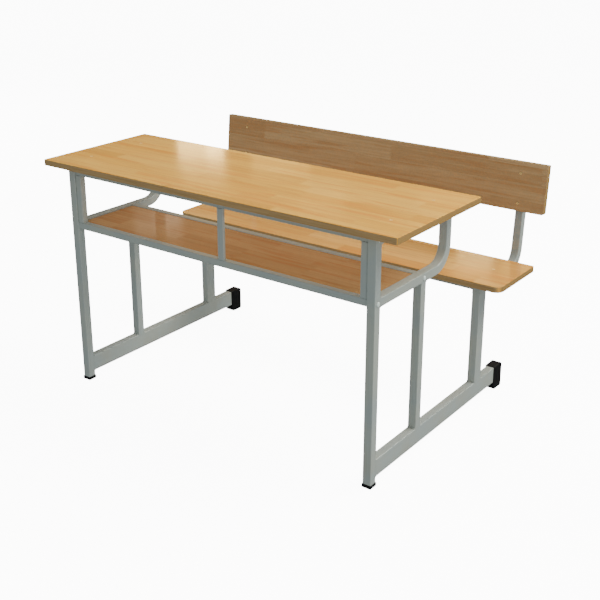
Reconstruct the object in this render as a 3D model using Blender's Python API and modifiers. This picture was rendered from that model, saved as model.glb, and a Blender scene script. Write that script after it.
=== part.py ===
"""A school desk with its bench, on two welded side frames of square tube that are bolted to cross rails.

The desk top, the book shelf, the seat and the backrest are boards screwed to that frame. X runs along the
desk, Y from its front edge back to the backrest, and Z up from the floor. The origin is on the floor under
the middle of the whole. An empty carries every piece, so places along Y are measured from the front edge.
"""

import math

import bmesh
import bpy
from mathutils import Matrix, Vector

# All three boards, in metres like every length here
BOARD_LENGTH = 1.200
BOARD_EDGE_ROUND = 0.0015

# Desk top
DESK_DEPTH = 0.412
DESK_HEIGHT = 0.695
DESK_BOARD = 0.018
DESK_CORNER_RADIUS = 0.003

# Seat and backrest
SEAT_DEPTH = 0.224
SEAT_HEIGHT = 0.396
SEAT_BOARD = 0.018
SEAT_FRONT_RADIUS = 0.025
SEAT_REAR_RADIUS = 0.005
KNEE_GAP = 0.147
BACKREST_HEIGHT = 0.148
BACKREST_BOARD = 0.018
BACKREST_LOW_RADIUS = 0.008
BACKREST_TOP_RADIUS = 0.003
BACKREST_RISE = 0.118
BACKREST_LEAN = math.radians(5)

# Book shelf
SHELF_BOARD = 0.015
SHELF_END_GAP = 0.001
SHELF_MOUTH_HEIGHT = 0.143

# Side frames: tubes, and where they stand
SIDE_FRAME_INSET = 0.084
SIDE_TUBE = 0.025
SIDE_WALL = 0.0012
BASE_RAIL_HEIGHT = 0.050
BASE_RAIL_CLEARANCE = 0.025
BASE_RAIL_TAIL = 0.133
REAR_POST_DEPTH = 0.040
REAR_POST_INSET = 0.024
LEG_SETBACK = 0.027
BRACKET_INSET = 0.018
MIDDLE_POST_LEAD = 0.0505
BEND_RADIUS = 0.060
SEAT_BEND_LEAD = 0.005
BACK_POST_DROP = 0.012
TUBE_CORNER_RADIUS = 0.0025
SEAT_BAR_END = 0.002

# Cross rails and the front frame
CROSS_TUBE = 0.020
CROSS_WALL = 0.0012
FRONT_MIDDLE_OFFSET = 0.045
FRONT_MIDDLE_DEPTH = 0.010
SEAT_REAR_RAIL_INSET = 0.030

# Plastic feet, plugs and shoes
FOOT_THICKNESS = 0.006
FOOT_OVERHANG = 0.0015
FOOT_SPIGOT = 0.018
PLUG_THICKNESS = 0.003
PLUG_SPIGOT = 0.011
PLASTIC_WALL = 0.002
PLASTIC_EDGE_ROUND = 0.0012
SHOE_WALL = 0.0025
SHOE_GRIP = 0.048
SHOE_SOLE = 0.005
SHOE_TOE_RADIUS = 0.014
SHOE_HEEL_RADIUS = 0.005
SHOE_CROWN_RADIUS = 0.009
SHOE_EDGE_ROUND = 0.0022

# Bolts through the side frames, and the threaded plates in the rail ends that they screw into
BOLT_DIAMETER = 0.006
BOLT_CLEARANCE = 0.0005
BOLT_HEAD = 0.012
BOLT_HEAD_HEIGHT = 0.0035
HEAD_RIM = 0.0008
BOLT_END_GAP = 0.001
END_PLATE = 0.008
END_PLATE_RECESS = 0.0006

# Countersunk screws in the boards
SCREW_DIAMETER = 0.004
SCREW_HEAD = 0.0085
SCREW_HEAD_DEPTH = 0.003
SCREW_SINK = 0.0003
SCREW_REACH = 0.012
SCREW_POINT = 0.003
DESK_SCREW_FRONT = 0.108
DESK_SCREW_REAR = 0.100
SEAT_SCREW_REAR = 0.095
BACKREST_SCREW_LOW = 0.022
BACKREST_SCREW_HIGH = 0.036

# Tabs on the shelf rails, under the shelf board, and the screws through them
TAB_WIDTH = 0.025
TAB_REACH = 0.018
TAB_THICKNESS = 0.0025
TAB_INSET = 0.122
TAB_SCREW_DIAMETER = 0.0035
TAB_SCREW_HEAD = 0.0070
TAB_SCREW_HEAD_HEIGHT = 0.0022
TAB_SCREW_REACH = 0.010

# Clearance between pieces that touch, and how far a cut runs past what it cuts
CONTACT = 0.0003
OVERRUN = 0.002
AXIS_MERGE = 0.00001

# How far a board's round corner may lie inside its true arc, and counts of facets
CORNER_TOLERANCE = 0.0003
CORNER_STEPS = 3
BEND_STEPS = 9
TURNED_STEPS = 12
DOME_STEPS = 3

# Places along Y, from the desk's front edge
LEG_CENTRE = LEG_SETBACK + SIDE_TUBE / 2
LEG_REAR = LEG_SETBACK + SIDE_TUBE
BRACKET_CENTRE = DESK_DEPTH - BRACKET_INSET - SIDE_TUBE / 2
BRACKET_BEND = BRACKET_CENTRE - BEND_RADIUS
MIDDLE_POST_CENTRE = BRACKET_BEND - MIDDLE_POST_LEAD - SIDE_TUBE / 2
SEAT_FRONT = DESK_DEPTH + KNEE_GAP
SEAT_REAR = SEAT_FRONT + SEAT_DEPTH
REAR_POST_FRONT = SEAT_FRONT + REAR_POST_INSET
REAR_POST_CENTRE = REAR_POST_FRONT + REAR_POST_DEPTH / 2
SEAT_BAR_START = REAR_POST_FRONT + SEAT_BAR_END + CONTACT
SEAT_BEND = SEAT_REAR - SEAT_BEND_LEAD
BASE_RAIL_END = REAR_POST_FRONT + REAR_POST_DEPTH + BASE_RAIL_TAIL
SEAT_REAR_RAIL = SEAT_REAR - SEAT_REAR_RAIL_INSET

# Heights
DESK_FRAME_TOP = DESK_HEIGHT - DESK_BOARD - CONTACT
TOP_RAIL_HEIGHT = DESK_FRAME_TOP - CROSS_TUBE / 2
SHELF_RAIL_HEIGHT = TOP_RAIL_HEIGHT - CROSS_TUBE - SHELF_MOUTH_HEIGHT
TAB_HEIGHT = SHELF_RAIL_HEIGHT - CROSS_TUBE / 2 + TAB_THICKNESS / 2
SHELF_UNDERSIDE = TAB_HEIGHT + TAB_THICKNESS / 2 + CONTACT
SEAT_FRAME_TOP = SEAT_HEIGHT - SEAT_BOARD - CONTACT
SEAT_RAIL_HEIGHT = SEAT_FRAME_TOP - CROSS_TUBE / 2
SEAT_BAR_CENTRE = SEAT_FRAME_TOP - SIDE_TUBE / 2
BASE_RAIL_TOP = BASE_RAIL_CLEARANCE + BASE_RAIL_HEIGHT

# Places along X, from the middle
SIDE_CENTRE = BOARD_LENGTH / 2 - SIDE_FRAME_INSET
SIDE_INNER = SIDE_CENTRE - SIDE_TUBE / 2
RAIL_LENGTH = 2 * (SIDE_INNER - CONTACT)
TAB_SPREAD = SIDE_INNER - TAB_INSET

# The leaning upper end of the seat brackets
BACK_TURN = math.pi / 2 - BACKREST_LEAN
BACK_UP = Vector((0, math.sin(BACKREST_LEAN), math.cos(BACKREST_LEAN)))
BACK_OUT = Vector((0, -math.cos(BACKREST_LEAN), math.sin(BACKREST_LEAN)))
BACK_START_Y = SEAT_BEND + BEND_RADIUS * math.sin(BACK_TURN)
BACK_START_Z = SEAT_BAR_CENTRE + BEND_RADIUS * (1 - math.cos(BACK_TURN))
BACK_START = Vector((0, BACK_START_Y, BACK_START_Z))
BACK_POST_LENGTH = BACKREST_RISE + BACKREST_HEIGHT - BACK_POST_DROP
BACK_POST_TOP = BACK_START + BACK_UP * BACK_POST_LENGTH
OVERALL_DEPTH = (BACK_POST_TOP + BACK_UP * (CONTACT + PLUG_THICKNESS) - BACK_OUT * SIDE_TUBE / 2).y

# What repeats, by name
SIDES = (("left", -1), ("right", 1))
DESK_SCREW_ROWS = (("front", DESK_SCREW_FRONT), ("rear", DESK_DEPTH - DESK_SCREW_REAR))
BACK_SCREW_ROWS = (("low", BACKREST_SCREW_LOW), ("high", BACKREST_HEIGHT - BACKREST_SCREW_HIGH))
SHELF_SCREW_COLUMNS = (("left", -TAB_SPREAD), ("middle", 0), ("right", TAB_SPREAD))
CROSS_RAILS = (
    ("front_top", LEG_CENTRE, TOP_RAIL_HEIGHT),
    ("front_shelf", LEG_CENTRE, SHELF_RAIL_HEIGHT),
    ("rear_shelf", MIDDLE_POST_CENTRE, SHELF_RAIL_HEIGHT),
    ("front_seat", REAR_POST_CENTRE, SEAT_RAIL_HEIGHT),
    ("rear_seat", SEAT_REAR_RAIL, SEAT_RAIL_HEIGHT),
)
BODY_NAME = "school_desk_with_bench"
CUTTERS_NAME = "cutters"


def linear(red, green, blue):
    """A linear colour from its sRGB value, each channel from 0 to 255."""
    shares = (channel / 255 for channel in (red, green, blue))
    return [s / 12.92 if s <= 0.04045 else ((s + 0.055) / 1.055) ** 2.4 for s in shares] + [1.0]


FINISHES = {
    "lacquered_wood": (linear(206, 168, 118), 0.32, 0.0),
    "shelf_wood": (linear(166, 120, 82), 0.45, 0.0),
    "grey_enamel": (linear(140, 145, 142), 0.38, 0.25),
    "black_plastic": (linear(26, 26, 27), 0.5, 0.0),
    "zinc_steel": (linear(196, 197, 196), 0.3, 1.0),
}


def finish(name):
    """The material of a finish, made the first time that it is asked for."""
    if name in bpy.data.materials:
        return bpy.data.materials[name]
    colour, roughness, metallic = FINISHES[name]
    material = bpy.data.materials.new(name)
    material.use_nodes = True
    shader = material.node_tree.nodes["Principled BSDF"]
    shader.inputs["Base Color"].default_value = colour
    shader.inputs["Roughness"].default_value = roughness
    shader.inputs["Metallic"].default_value = metallic
    material.diffuse_color = colour
    return material


def start_scene():
    """Clears the scene, and makes the two collections and the empty that carries every piece."""
    for obj in list(bpy.data.objects):
        bpy.data.objects.remove(obj, do_unlink=True)
    for name in (BODY_NAME, CUTTERS_NAME):
        bpy.context.scene.collection.children.link(bpy.data.collections.new(name))
    carrier = bpy.data.objects.new("carrier", None)
    carrier.location.y = -OVERALL_DEPTH / 2
    bpy.data.collections[BODY_NAME].objects.link(carrier)


def add_piece(name, mesh, finish_name, place=(0, 0, 0), turn=(0, 0, 0)):
    """Adds a mesh as one sub-part, carried by the empty, and shades its round faces smooth."""
    obj = bpy.data.objects.new(name, mesh)
    mesh.materials.clear()
    mesh.materials.append(finish(finish_name))
    mesh.shade_smooth()
    mesh.set_sharp_from_angle(angle=math.radians(35))
    obj.location = place
    obj.rotation_euler = turn
    obj.parent = bpy.data.objects["carrier"]
    bpy.data.collections[BODY_NAME].objects.link(obj)
    return obj


def add_cutter(name, mesh, place=(0, 0, 0), turn=(0, 0, 0)):
    """Adds a mesh that is only cut from others or joined to them."""
    obj = bpy.data.objects.new(name, mesh)
    obj.location = place
    obj.rotation_euler = turn
    obj.parent = bpy.data.objects["carrier"]
    obj.hide_render = True
    obj.display_type = "WIRE"
    bpy.data.collections[CUTTERS_NAME].objects.link(obj)
    return obj


def combine(obj, operation, other):
    """Joins another shape to a piece with UNION, or takes it out of the piece with DIFFERENCE."""
    modifier = obj.modifiers.new(other.name, "BOOLEAN")
    modifier.operation = operation
    modifier.solver = "EXACT"
    modifier.object = other


def round_edges(obj, radius):
    """Rounds the sharp edges of a piece, before anything is cut from it."""
    modifier = obj.modifiers.new("rounded edges", "BEVEL")
    modifier.width = radius
    modifier.segments = 2
    modifier.limit_method = "ANGLE"
    modifier.angle_limit = math.radians(35)


def face_outward(bm):
    """Turns the faces of a closed form outward."""
    bmesh.ops.recalc_face_normals(bm, faces=bm.faces)
    if bm.calc_volume(signed=True) < 0:
        bmesh.ops.reverse_faces(bm, faces=bm.faces)


def to_mesh(bm, name):
    """Turns a bmesh into a mesh and frees it."""
    mesh = bpy.data.meshes.new(name)
    bm.to_mesh(mesh)
    bm.free()
    return mesh


def evaluated_mesh(data, name, modify):
    """The mesh that a mesh with modifiers makes. The object that held it is removed."""
    obj = bpy.data.objects.new(name, data)
    bpy.context.scene.collection.objects.link(obj)
    modify(obj)
    graph = bpy.context.evaluated_depsgraph_get()
    mesh = bpy.data.meshes.new_from_object(obj.evaluated_get(graph))
    bpy.data.objects.remove(obj, do_unlink=True)
    return mesh


def rounded_rectangle(bm, width, height, radius):
    """A filled rectangle with round corners in the XZ plane. Returns its face."""
    bmesh.ops.create_grid(bm, x_segments=1, y_segments=1, size=1)
    bmesh.ops.scale(bm, vec=(width / 2, height / 2, 1), verts=bm.verts)
    bmesh.ops.bevel(
        bm,
        geom=bm.verts[:],
        offset=radius,
        segments=CORNER_STEPS,
        profile=0.5,
        affect="VERTICES",
        material=-1,
    )
    bmesh.ops.rotate(bm, verts=bm.verts, matrix=Matrix.Rotation(math.pi / 2, 3, "X"))
    return next(iter(bm.faces))


def tube_mesh(width, height, runs):
    """The outer skin of a tube that starts at the origin along +Y, with open ends.

    Its width is along X and its height along Z. A run is a straight length, or an angle and a radius by which
    the tube bends up.
    """
    bm = bmesh.new()
    face = rounded_rectangle(bm, width, height, TUBE_CORNER_RADIUS)
    ring = face.edges[:]
    bmesh.ops.delete(bm, geom=[face], context="FACES_ONLY")
    place, heading = Vector((0, 0, 0)), 0.0
    for run in runs:
        forward = Vector((0, math.cos(heading), math.sin(heading)))
        upward = Vector((0, -math.sin(heading), math.cos(heading)))
        if isinstance(run, tuple):
            angle, radius = run
            centre = place + upward * radius
            made = bmesh.ops.spin(
                bm, geom=ring, cent=centre, axis=(1, 0, 0), angle=angle, steps=BEND_STEPS
            )["geom_last"]
            place = centre + Matrix.Rotation(angle, 3, "X") @ (place - centre)
            heading += angle
        else:
            made = bmesh.ops.extrude_edge_only(bm, edges=ring)["geom"]
            moved = [item for item in made if isinstance(item, bmesh.types.BMVert)]
            bmesh.ops.translate(bm, verts=moved, vec=forward * run)
            place = place + forward * run
        ends = {item for item in made if isinstance(item, bmesh.types.BMVert)}
        ring = [edge for edge in bm.edges if set(edge.verts) <= ends]
    # Caps show which side is out, and then go, so that the ends are open.
    open_edges = [edge for edge in bm.edges if edge.is_boundary]
    caps = bmesh.ops.holes_fill(bm, edges=open_edges, sides=0)["faces"]
    face_outward(bm)
    bmesh.ops.delete(bm, geom=caps, context="FACES_ONLY")
    return to_mesh(bm, "tube")


def add_tube(name, runs, place, turn=(0, 0, 0), width=SIDE_TUBE, height=SIDE_TUBE, wall=SIDE_WALL):
    """Adds a tube with its wall inside its outer skin."""
    obj = add_piece(name, tube_mesh(width, height, runs), "grey_enamel", place, turn)
    shell = obj.modifiers.new("wall", "SOLIDIFY")
    shell.thickness = wall
    shell.offset = -1
    shell.use_even_offset = True
    return obj


def add_post(name, bottom, top, x, y, depth=SIDE_TUBE, width=SIDE_TUBE, wall=SIDE_WALL):
    """Adds an upright tube between two heights."""
    return add_tube(name, [top - bottom], (x, y, bottom), (math.pi / 2, 0, 0), width, depth, wall)


def bar_mesh(width, height, length, radius):
    """A solid bar with rounded corners, from the origin along +Y."""
    bm = bmesh.new()
    face = rounded_rectangle(bm, width, height, radius)
    made = bmesh.ops.extrude_face_region(bm, geom=[face])["geom"]
    moved = [item for item in made if isinstance(item, bmesh.types.BMVert)]
    bmesh.ops.translate(bm, verts=moved, vec=(0, length, 0))
    face_outward(bm)
    return to_mesh(bm, "bar")


def block_mesh(width, depth, height):
    """A plain block about the origin."""
    bm = bmesh.new()
    bmesh.ops.create_cube(bm, size=1)
    bmesh.ops.scale(bm, vec=(width, depth, height), verts=bm.verts)
    return to_mesh(bm, "block")


def board_mesh(length, depth, thickness, front_radius, rear_radius):
    """A board about the origin, whose upright corner edges are round."""
    bm = bmesh.new()
    bmesh.ops.create_cube(bm, size=1)
    bmesh.ops.scale(bm, vec=(length, depth, thickness), verts=bm.verts)
    for side, radius in ((-1, front_radius), (1, rear_radius)):
        facet = 2 * math.acos(1 - min(CORNER_TOLERANCE / radius, 0.5))
        upright = [
            edge
            for edge in bm.edges
            if abs(edge.verts[0].co.z - edge.verts[1].co.z) > thickness / 2
            and edge.verts[0].co.y * side > 0
        ]
        bmesh.ops.bevel(
            bm,
            geom=upright,
            offset=radius,
            segments=math.ceil(math.pi / 2 / facet),
            profile=0.5,
            affect="EDGES",
            material=-1,
        )
    return to_mesh(bm, "board")


def turned_mesh(outline):
    """A solid turned round Z. The outline runs from the top of the axis down the outer side to its foot."""
    bm = bmesh.new()
    points = [bm.verts.new((radius, 0, height)) for radius, height in outline]
    for upper, lower in zip(points, points[1:]):
        bm.edges.new((upper, lower))

    def turn(obj):
        screw = obj.modifiers.new("turn", "SCREW")
        screw.axis = "Z"
        screw.steps = TURNED_STEPS
        screw.render_steps = TURNED_STEPS
        screw.use_merge_vertices = True
        screw.merge_threshold = AXIS_MERGE

    return evaluated_mesh(to_mesh(bm, "outline"), "turned", turn)


def copies_mesh(mesh, matrices):
    """One mesh that holds a separate copy of another at each matrix."""
    bm = bmesh.new()
    for matrix in matrices:
        before = len(bm.verts)
        bm.from_mesh(mesh)
        bm.verts.ensure_lookup_table()
        bmesh.ops.transform(bm, matrix=matrix, verts=bm.verts[before:])
    return to_mesh(bm, "copies")


def facing(out):
    """The turn that points a thing's own +Z along a direction."""
    return Vector((0, 0, 1)).rotation_difference(out)


def placed(place, out):
    """The matrix that stands a thing at a place, with its own +Z along a direction."""
    return Matrix.Translation(place) @ facing(out).to_matrix().to_4x4()


def countersunk_outline(head, shank, head_depth, length, above=0.0, point=0.0):
    """The outline of a countersunk screw, or of its hole. The height is zero at the top of the head."""
    outline = [(0, above), (head / 2, above), (shank / 2, -head_depth), (shank / 2, point - length)]
    if above:
        outline.insert(2, (head / 2, 0))
    return outline + [(0, -length)]


def dome_outline(head, head_height, rim, shank, length):
    """The outline of a round-headed bolt. The height is zero under the head."""
    outline = []
    for step in range(DOME_STEPS + 1):
        turn = math.pi / 2 * step / DOME_STEPS
        outline.append((head / 2 * math.sin(turn), rim + (head_height - rim) * math.cos(turn)))
    return outline + [(head / 2, 0), (shank / 2, 0), (shank / 2, -length), (0, -length)]


def hole_mesh(diameter, depth):
    """A round cutter about the origin, along Z."""
    bm = bmesh.new()
    bmesh.ops.create_cone(
        bm,
        cap_ends=True,
        segments=TURNED_STEPS,
        radius1=diameter / 2,
        radius2=diameter / 2,
        depth=depth,
    )
    return to_mesh(bm, "hole")


def cut_holes(obj, diameter, depth, places, out):
    """Cuts round holes of one size, centred on their places, along one direction."""
    matrices = [placed(place, out) for place in places]
    holes = copies_mesh(hole_mesh(diameter, depth), matrices)
    combine(obj, "DIFFERENCE", add_cutter(f"{obj.name} holes", holes))


def add_fasteners(places, mesh, out):
    """Adds the same screw or bolt at each named place, with its head facing one direction."""
    for name, place in places.items():
        add_piece(name, mesh, "zinc_steel", place, facing(out).to_euler())


def add_board_screws(board, thickness, places, out):
    """Adds countersunk screws at named places on a board's face, and cuts their holes through it."""
    length = thickness + SCREW_REACH
    outline = countersunk_outline(
        SCREW_HEAD, SCREW_DIAMETER, SCREW_HEAD_DEPTH, length, point=SCREW_POINT
    )
    sunk = {name: Vector(place) - out * SCREW_SINK for name, place in places.items()}
    add_fasteners(sunk, turned_mesh(outline), out)
    gap = 2 * CONTACT
    outline = countersunk_outline(
        SCREW_HEAD + gap, SCREW_DIAMETER + gap, SCREW_HEAD_DEPTH + CONTACT, length, above=OVERRUN
    )
    seats = copies_mesh(turned_mesh(outline), [placed(place, out) for place in sunk.values()])
    combine(board, "DIFFERENCE", add_cutter(f"{board.name} screw seats", seats))


def plug_mesh(outer, outer_radius, thickness, inner, spigot):
    """A tube plug, before it is hollowed: a flange below the XY plane, and a spigot that stands on it."""
    bm = bmesh.new()
    face = rounded_rectangle(bm, outer, outer, outer_radius)
    bmesh.ops.rotate(bm, verts=bm.verts, matrix=Matrix.Rotation(-math.pi / 2, 3, "X"))
    bmesh.ops.translate(bm, verts=bm.verts, vec=(0, 0, -thickness))
    rim = face.edges[:]

    def raise_face(top, height):
        made = bmesh.ops.extrude_face_region(bm, geom=[top, *top.edges])["geom"]
        moved = [item for item in made if isinstance(item, bmesh.types.BMVert)]
        bmesh.ops.translate(bm, verts=moved, vec=(0, 0, height))
        return next(item for item in made if isinstance(item, bmesh.types.BMFace))

    top = raise_face(face, thickness)
    bmesh.ops.inset_region(bm, faces=[top], thickness=(outer - inner) / 2, use_even_offset=True)
    raise_face(top, spigot)
    face_outward(bm)
    bmesh.ops.bevel(
        bm, geom=rim, offset=PLASTIC_EDGE_ROUND, segments=1, profile=0.5, affect="EDGES", material=-1
    )
    return to_mesh(bm, "plug")


def add_plug(name, outer, thickness, spigot, place, turn=(0, 0, 0)):
    """Adds a plug with a hollow spigot that fills a side tube's bore."""
    inner = SIDE_TUBE - 2 * SIDE_WALL - 2 * CONTACT
    radius = TUBE_CORNER_RADIUS + (outer - SIDE_TUBE) / 2
    plug = add_piece(name, plug_mesh(outer, radius, thickness, inner, spigot), "black_plastic", place, turn)
    bore = inner - 2 * PLASTIC_WALL
    hollow = bar_mesh(bore, bore, spigot + OVERRUN, TUBE_CORNER_RADIUS - SIDE_WALL)
    hollow.transform(Matrix.Rotation(math.pi / 2, 4, "X"))
    combine(plug, "DIFFERENCE", add_cutter(f"{name} hollow", hollow, place, turn))


def build_desk_top():
    """The desk top and its four screws, which go down into the side bars."""
    place = (0, DESK_DEPTH / 2, DESK_HEIGHT - DESK_BOARD / 2)
    mesh = board_mesh(BOARD_LENGTH, DESK_DEPTH, DESK_BOARD, DESK_CORNER_RADIUS, DESK_CORNER_RADIUS)
    board = add_piece("desk_top", mesh, "lacquered_wood", place)
    round_edges(board, BOARD_EDGE_ROUND)
    places = {
        f"desk_screw_{side_name}_{row_name}": (side * SIDE_CENTRE, y, DESK_HEIGHT)
        for side_name, side in SIDES
        for row_name, y in DESK_SCREW_ROWS
    }
    add_board_screws(board, DESK_BOARD, places, Vector((0, 0, 1)))


def build_seat():
    """The seat board and its two screws, which go down into the seat brackets."""
    place = (0, (SEAT_FRONT + SEAT_REAR) / 2, SEAT_HEIGHT - SEAT_BOARD / 2)
    mesh = board_mesh(BOARD_LENGTH, SEAT_DEPTH, SEAT_BOARD, SEAT_FRONT_RADIUS, SEAT_REAR_RADIUS)
    board = add_piece("seat_board", mesh, "lacquered_wood", place)
    round_edges(board, BOARD_EDGE_ROUND)
    places = {
        f"seat_screw_{side_name}": (side * SIDE_CENTRE, SEAT_REAR - SEAT_SCREW_REAR, SEAT_HEIGHT)
        for side_name, side in SIDES
    }
    add_board_screws(board, SEAT_BOARD, places, Vector((0, 0, 1)))


def back_place(x, along, out):
    """A point of a leaning back post: along from the end of its bend, and out from its centre line."""
    return Vector((x, 0, 0)) + BACK_START + BACK_UP * along + BACK_OUT * out


def build_backrest():
    """The backrest board and its four screws, which go back into the posts."""
    face = SIDE_TUBE / 2 + CONTACT
    place = back_place(0, BACKREST_RISE + BACKREST_HEIGHT / 2, face + BACKREST_BOARD / 2)
    mesh = board_mesh(
        BOARD_LENGTH, BACKREST_HEIGHT, BACKREST_BOARD, BACKREST_LOW_RADIUS, BACKREST_TOP_RADIUS
    )
    board = add_piece("backrest_board", mesh, "lacquered_wood", place, (BACK_TURN, 0, 0))
    round_edges(board, BOARD_EDGE_ROUND)
    places = {
        f"back_screw_{side_name}_{row_name}": back_place(
            side * SIDE_CENTRE, BACKREST_RISE + row, face + BACKREST_BOARD
        )
        for side_name, side in SIDES
        for row_name, row in BACK_SCREW_ROWS
    }
    add_board_screws(board, BACKREST_BOARD, places, BACK_OUT)


def build_shelf():
    """The shelf rails, the shelf board between them, and the screws up through the rails' tabs."""
    front = LEG_CENTRE + CROSS_TUBE / 2
    rear = MIDDLE_POST_CENTRE - CROSS_TUBE / 2
    depth = rear - front - 2 * CONTACT
    length = 2 * (SIDE_INNER - SHELF_END_GAP)
    mesh = board_mesh(length, depth, SHELF_BOARD, BOARD_EDGE_ROUND, BOARD_EDGE_ROUND)
    place = (0, (front + rear) / 2, SHELF_UNDERSIDE + SHELF_BOARD / 2)
    board = add_piece("shelf_board", mesh, "shelf_wood", place)

    screw = turned_mesh(
        dome_outline(
            TAB_SCREW_HEAD,
            TAB_SCREW_HEAD_HEIGHT,
            HEAD_RIM,
            TAB_SCREW_DIAMETER,
            TAB_THICKNESS + TAB_SCREW_REACH,
        )
    )
    down = Vector((0, 0, -1))
    hole = TAB_SCREW_DIAMETER + 2 * CONTACT
    seat = TAB_HEIGHT - TAB_THICKNESS / 2 - CONTACT
    for row_name, face, back in (("front", front, 1), ("rear", rear, -1)):
        y = face + back * TAB_REACH / 2
        heads = {
            f"shelf_screw_{column_name}_{row_name}": (x, y, seat)
            for column_name, x in SHELF_SCREW_COLUMNS
        }
        add_fasteners(heads, screw, down)
        mouths = [(x, y, SHELF_UNDERSIDE) for x, y, _ in heads.values()]
        cut_holes(board, hole, 2 * TAB_SCREW_REACH, mouths, down)
        rail = add_cross_rail(f"{row_name}_shelf_rail", face - back * CROSS_TUBE / 2, SHELF_RAIL_HEIGHT)
        add_tabs(rail, face, back)
        cut_holes(rail, hole, 2 * OVERRUN + TAB_THICKNESS, list(heads.values()), down)


def add_tabs(rail, face, back):
    """Joins three flat tabs to a shelf rail. Each reaches under the board from inside the rail's wall."""
    reach = TAB_REACH + CROSS_WALL / 2
    tab = block_mesh(TAB_WIDTH, reach, TAB_THICKNESS)
    y = face + back * (TAB_REACH - reach / 2)
    tabs = copies_mesh(tab, [Matrix.Translation((x, y, TAB_HEIGHT)) for _, x in SHELF_SCREW_COLUMNS])
    combine(rail, "UNION", add_cutter(f"{rail.name} tabs", tabs))


def add_cross_rail(name, y, z):
    """Adds a rail from one side frame to the other, with a threaded plate welded inside each end."""
    turn = (0, 0, -math.pi / 2)
    start = (-RAIL_LENGTH / 2, y, z)
    rail = add_tube(name, [RAIL_LENGTH], start, turn, CROSS_TUBE, CROSS_TUBE, CROSS_WALL)
    size = CROSS_TUBE - CROSS_WALL
    plate = bar_mesh(size, size, END_PLATE, TUBE_CORNER_RADIUS - CROSS_WALL / 2)
    ends = (END_PLATE_RECESS, RAIL_LENGTH - END_PLATE_RECESS - END_PLATE)
    plates = copies_mesh(plate, [Matrix.Translation((0, end, 0)) for end in ends])
    combine(rail, "UNION", add_cutter(f"{name} plates", plates, start, turn))
    middles = [(side * (RAIL_LENGTH - END_PLATE) / 2, y, z) for _, side in SIDES]
    across = Vector((1, 0, 0))
    cut_holes(rail, BOLT_DIAMETER + 2 * CONTACT, END_PLATE + 2 * OVERRUN, middles, across)
    return rail


def build_cross_rails():
    """The front frame round the shelf's mouth, with its flat middle post, and the two seat rails."""
    add_cross_rail("front_top_rail", LEG_CENTRE, TOP_RAIL_HEIGHT)
    add_cross_rail("front_seat_rail", REAR_POST_CENTRE, SEAT_RAIL_HEIGHT)
    add_cross_rail("rear_seat_rail", SEAT_REAR_RAIL, SEAT_RAIL_HEIGHT)
    low = SHELF_RAIL_HEIGHT + CROSS_TUBE / 2 + CONTACT
    high = TOP_RAIL_HEIGHT - CROSS_TUBE / 2 - CONTACT
    end = (RAIL_LENGTH - CROSS_TUBE) / 2
    posts = (
        ("left", -end, CROSS_TUBE),
        ("middle", FRONT_MIDDLE_OFFSET, FRONT_MIDDLE_DEPTH),
        ("right", end, CROSS_TUBE),
    )
    for name, x, depth in posts:
        y = LEG_CENTRE - (CROSS_TUBE - depth) / 2
        add_post(f"front_post_{name}", low, high, x, y, depth, CROSS_TUBE, CROSS_WALL)


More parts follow.
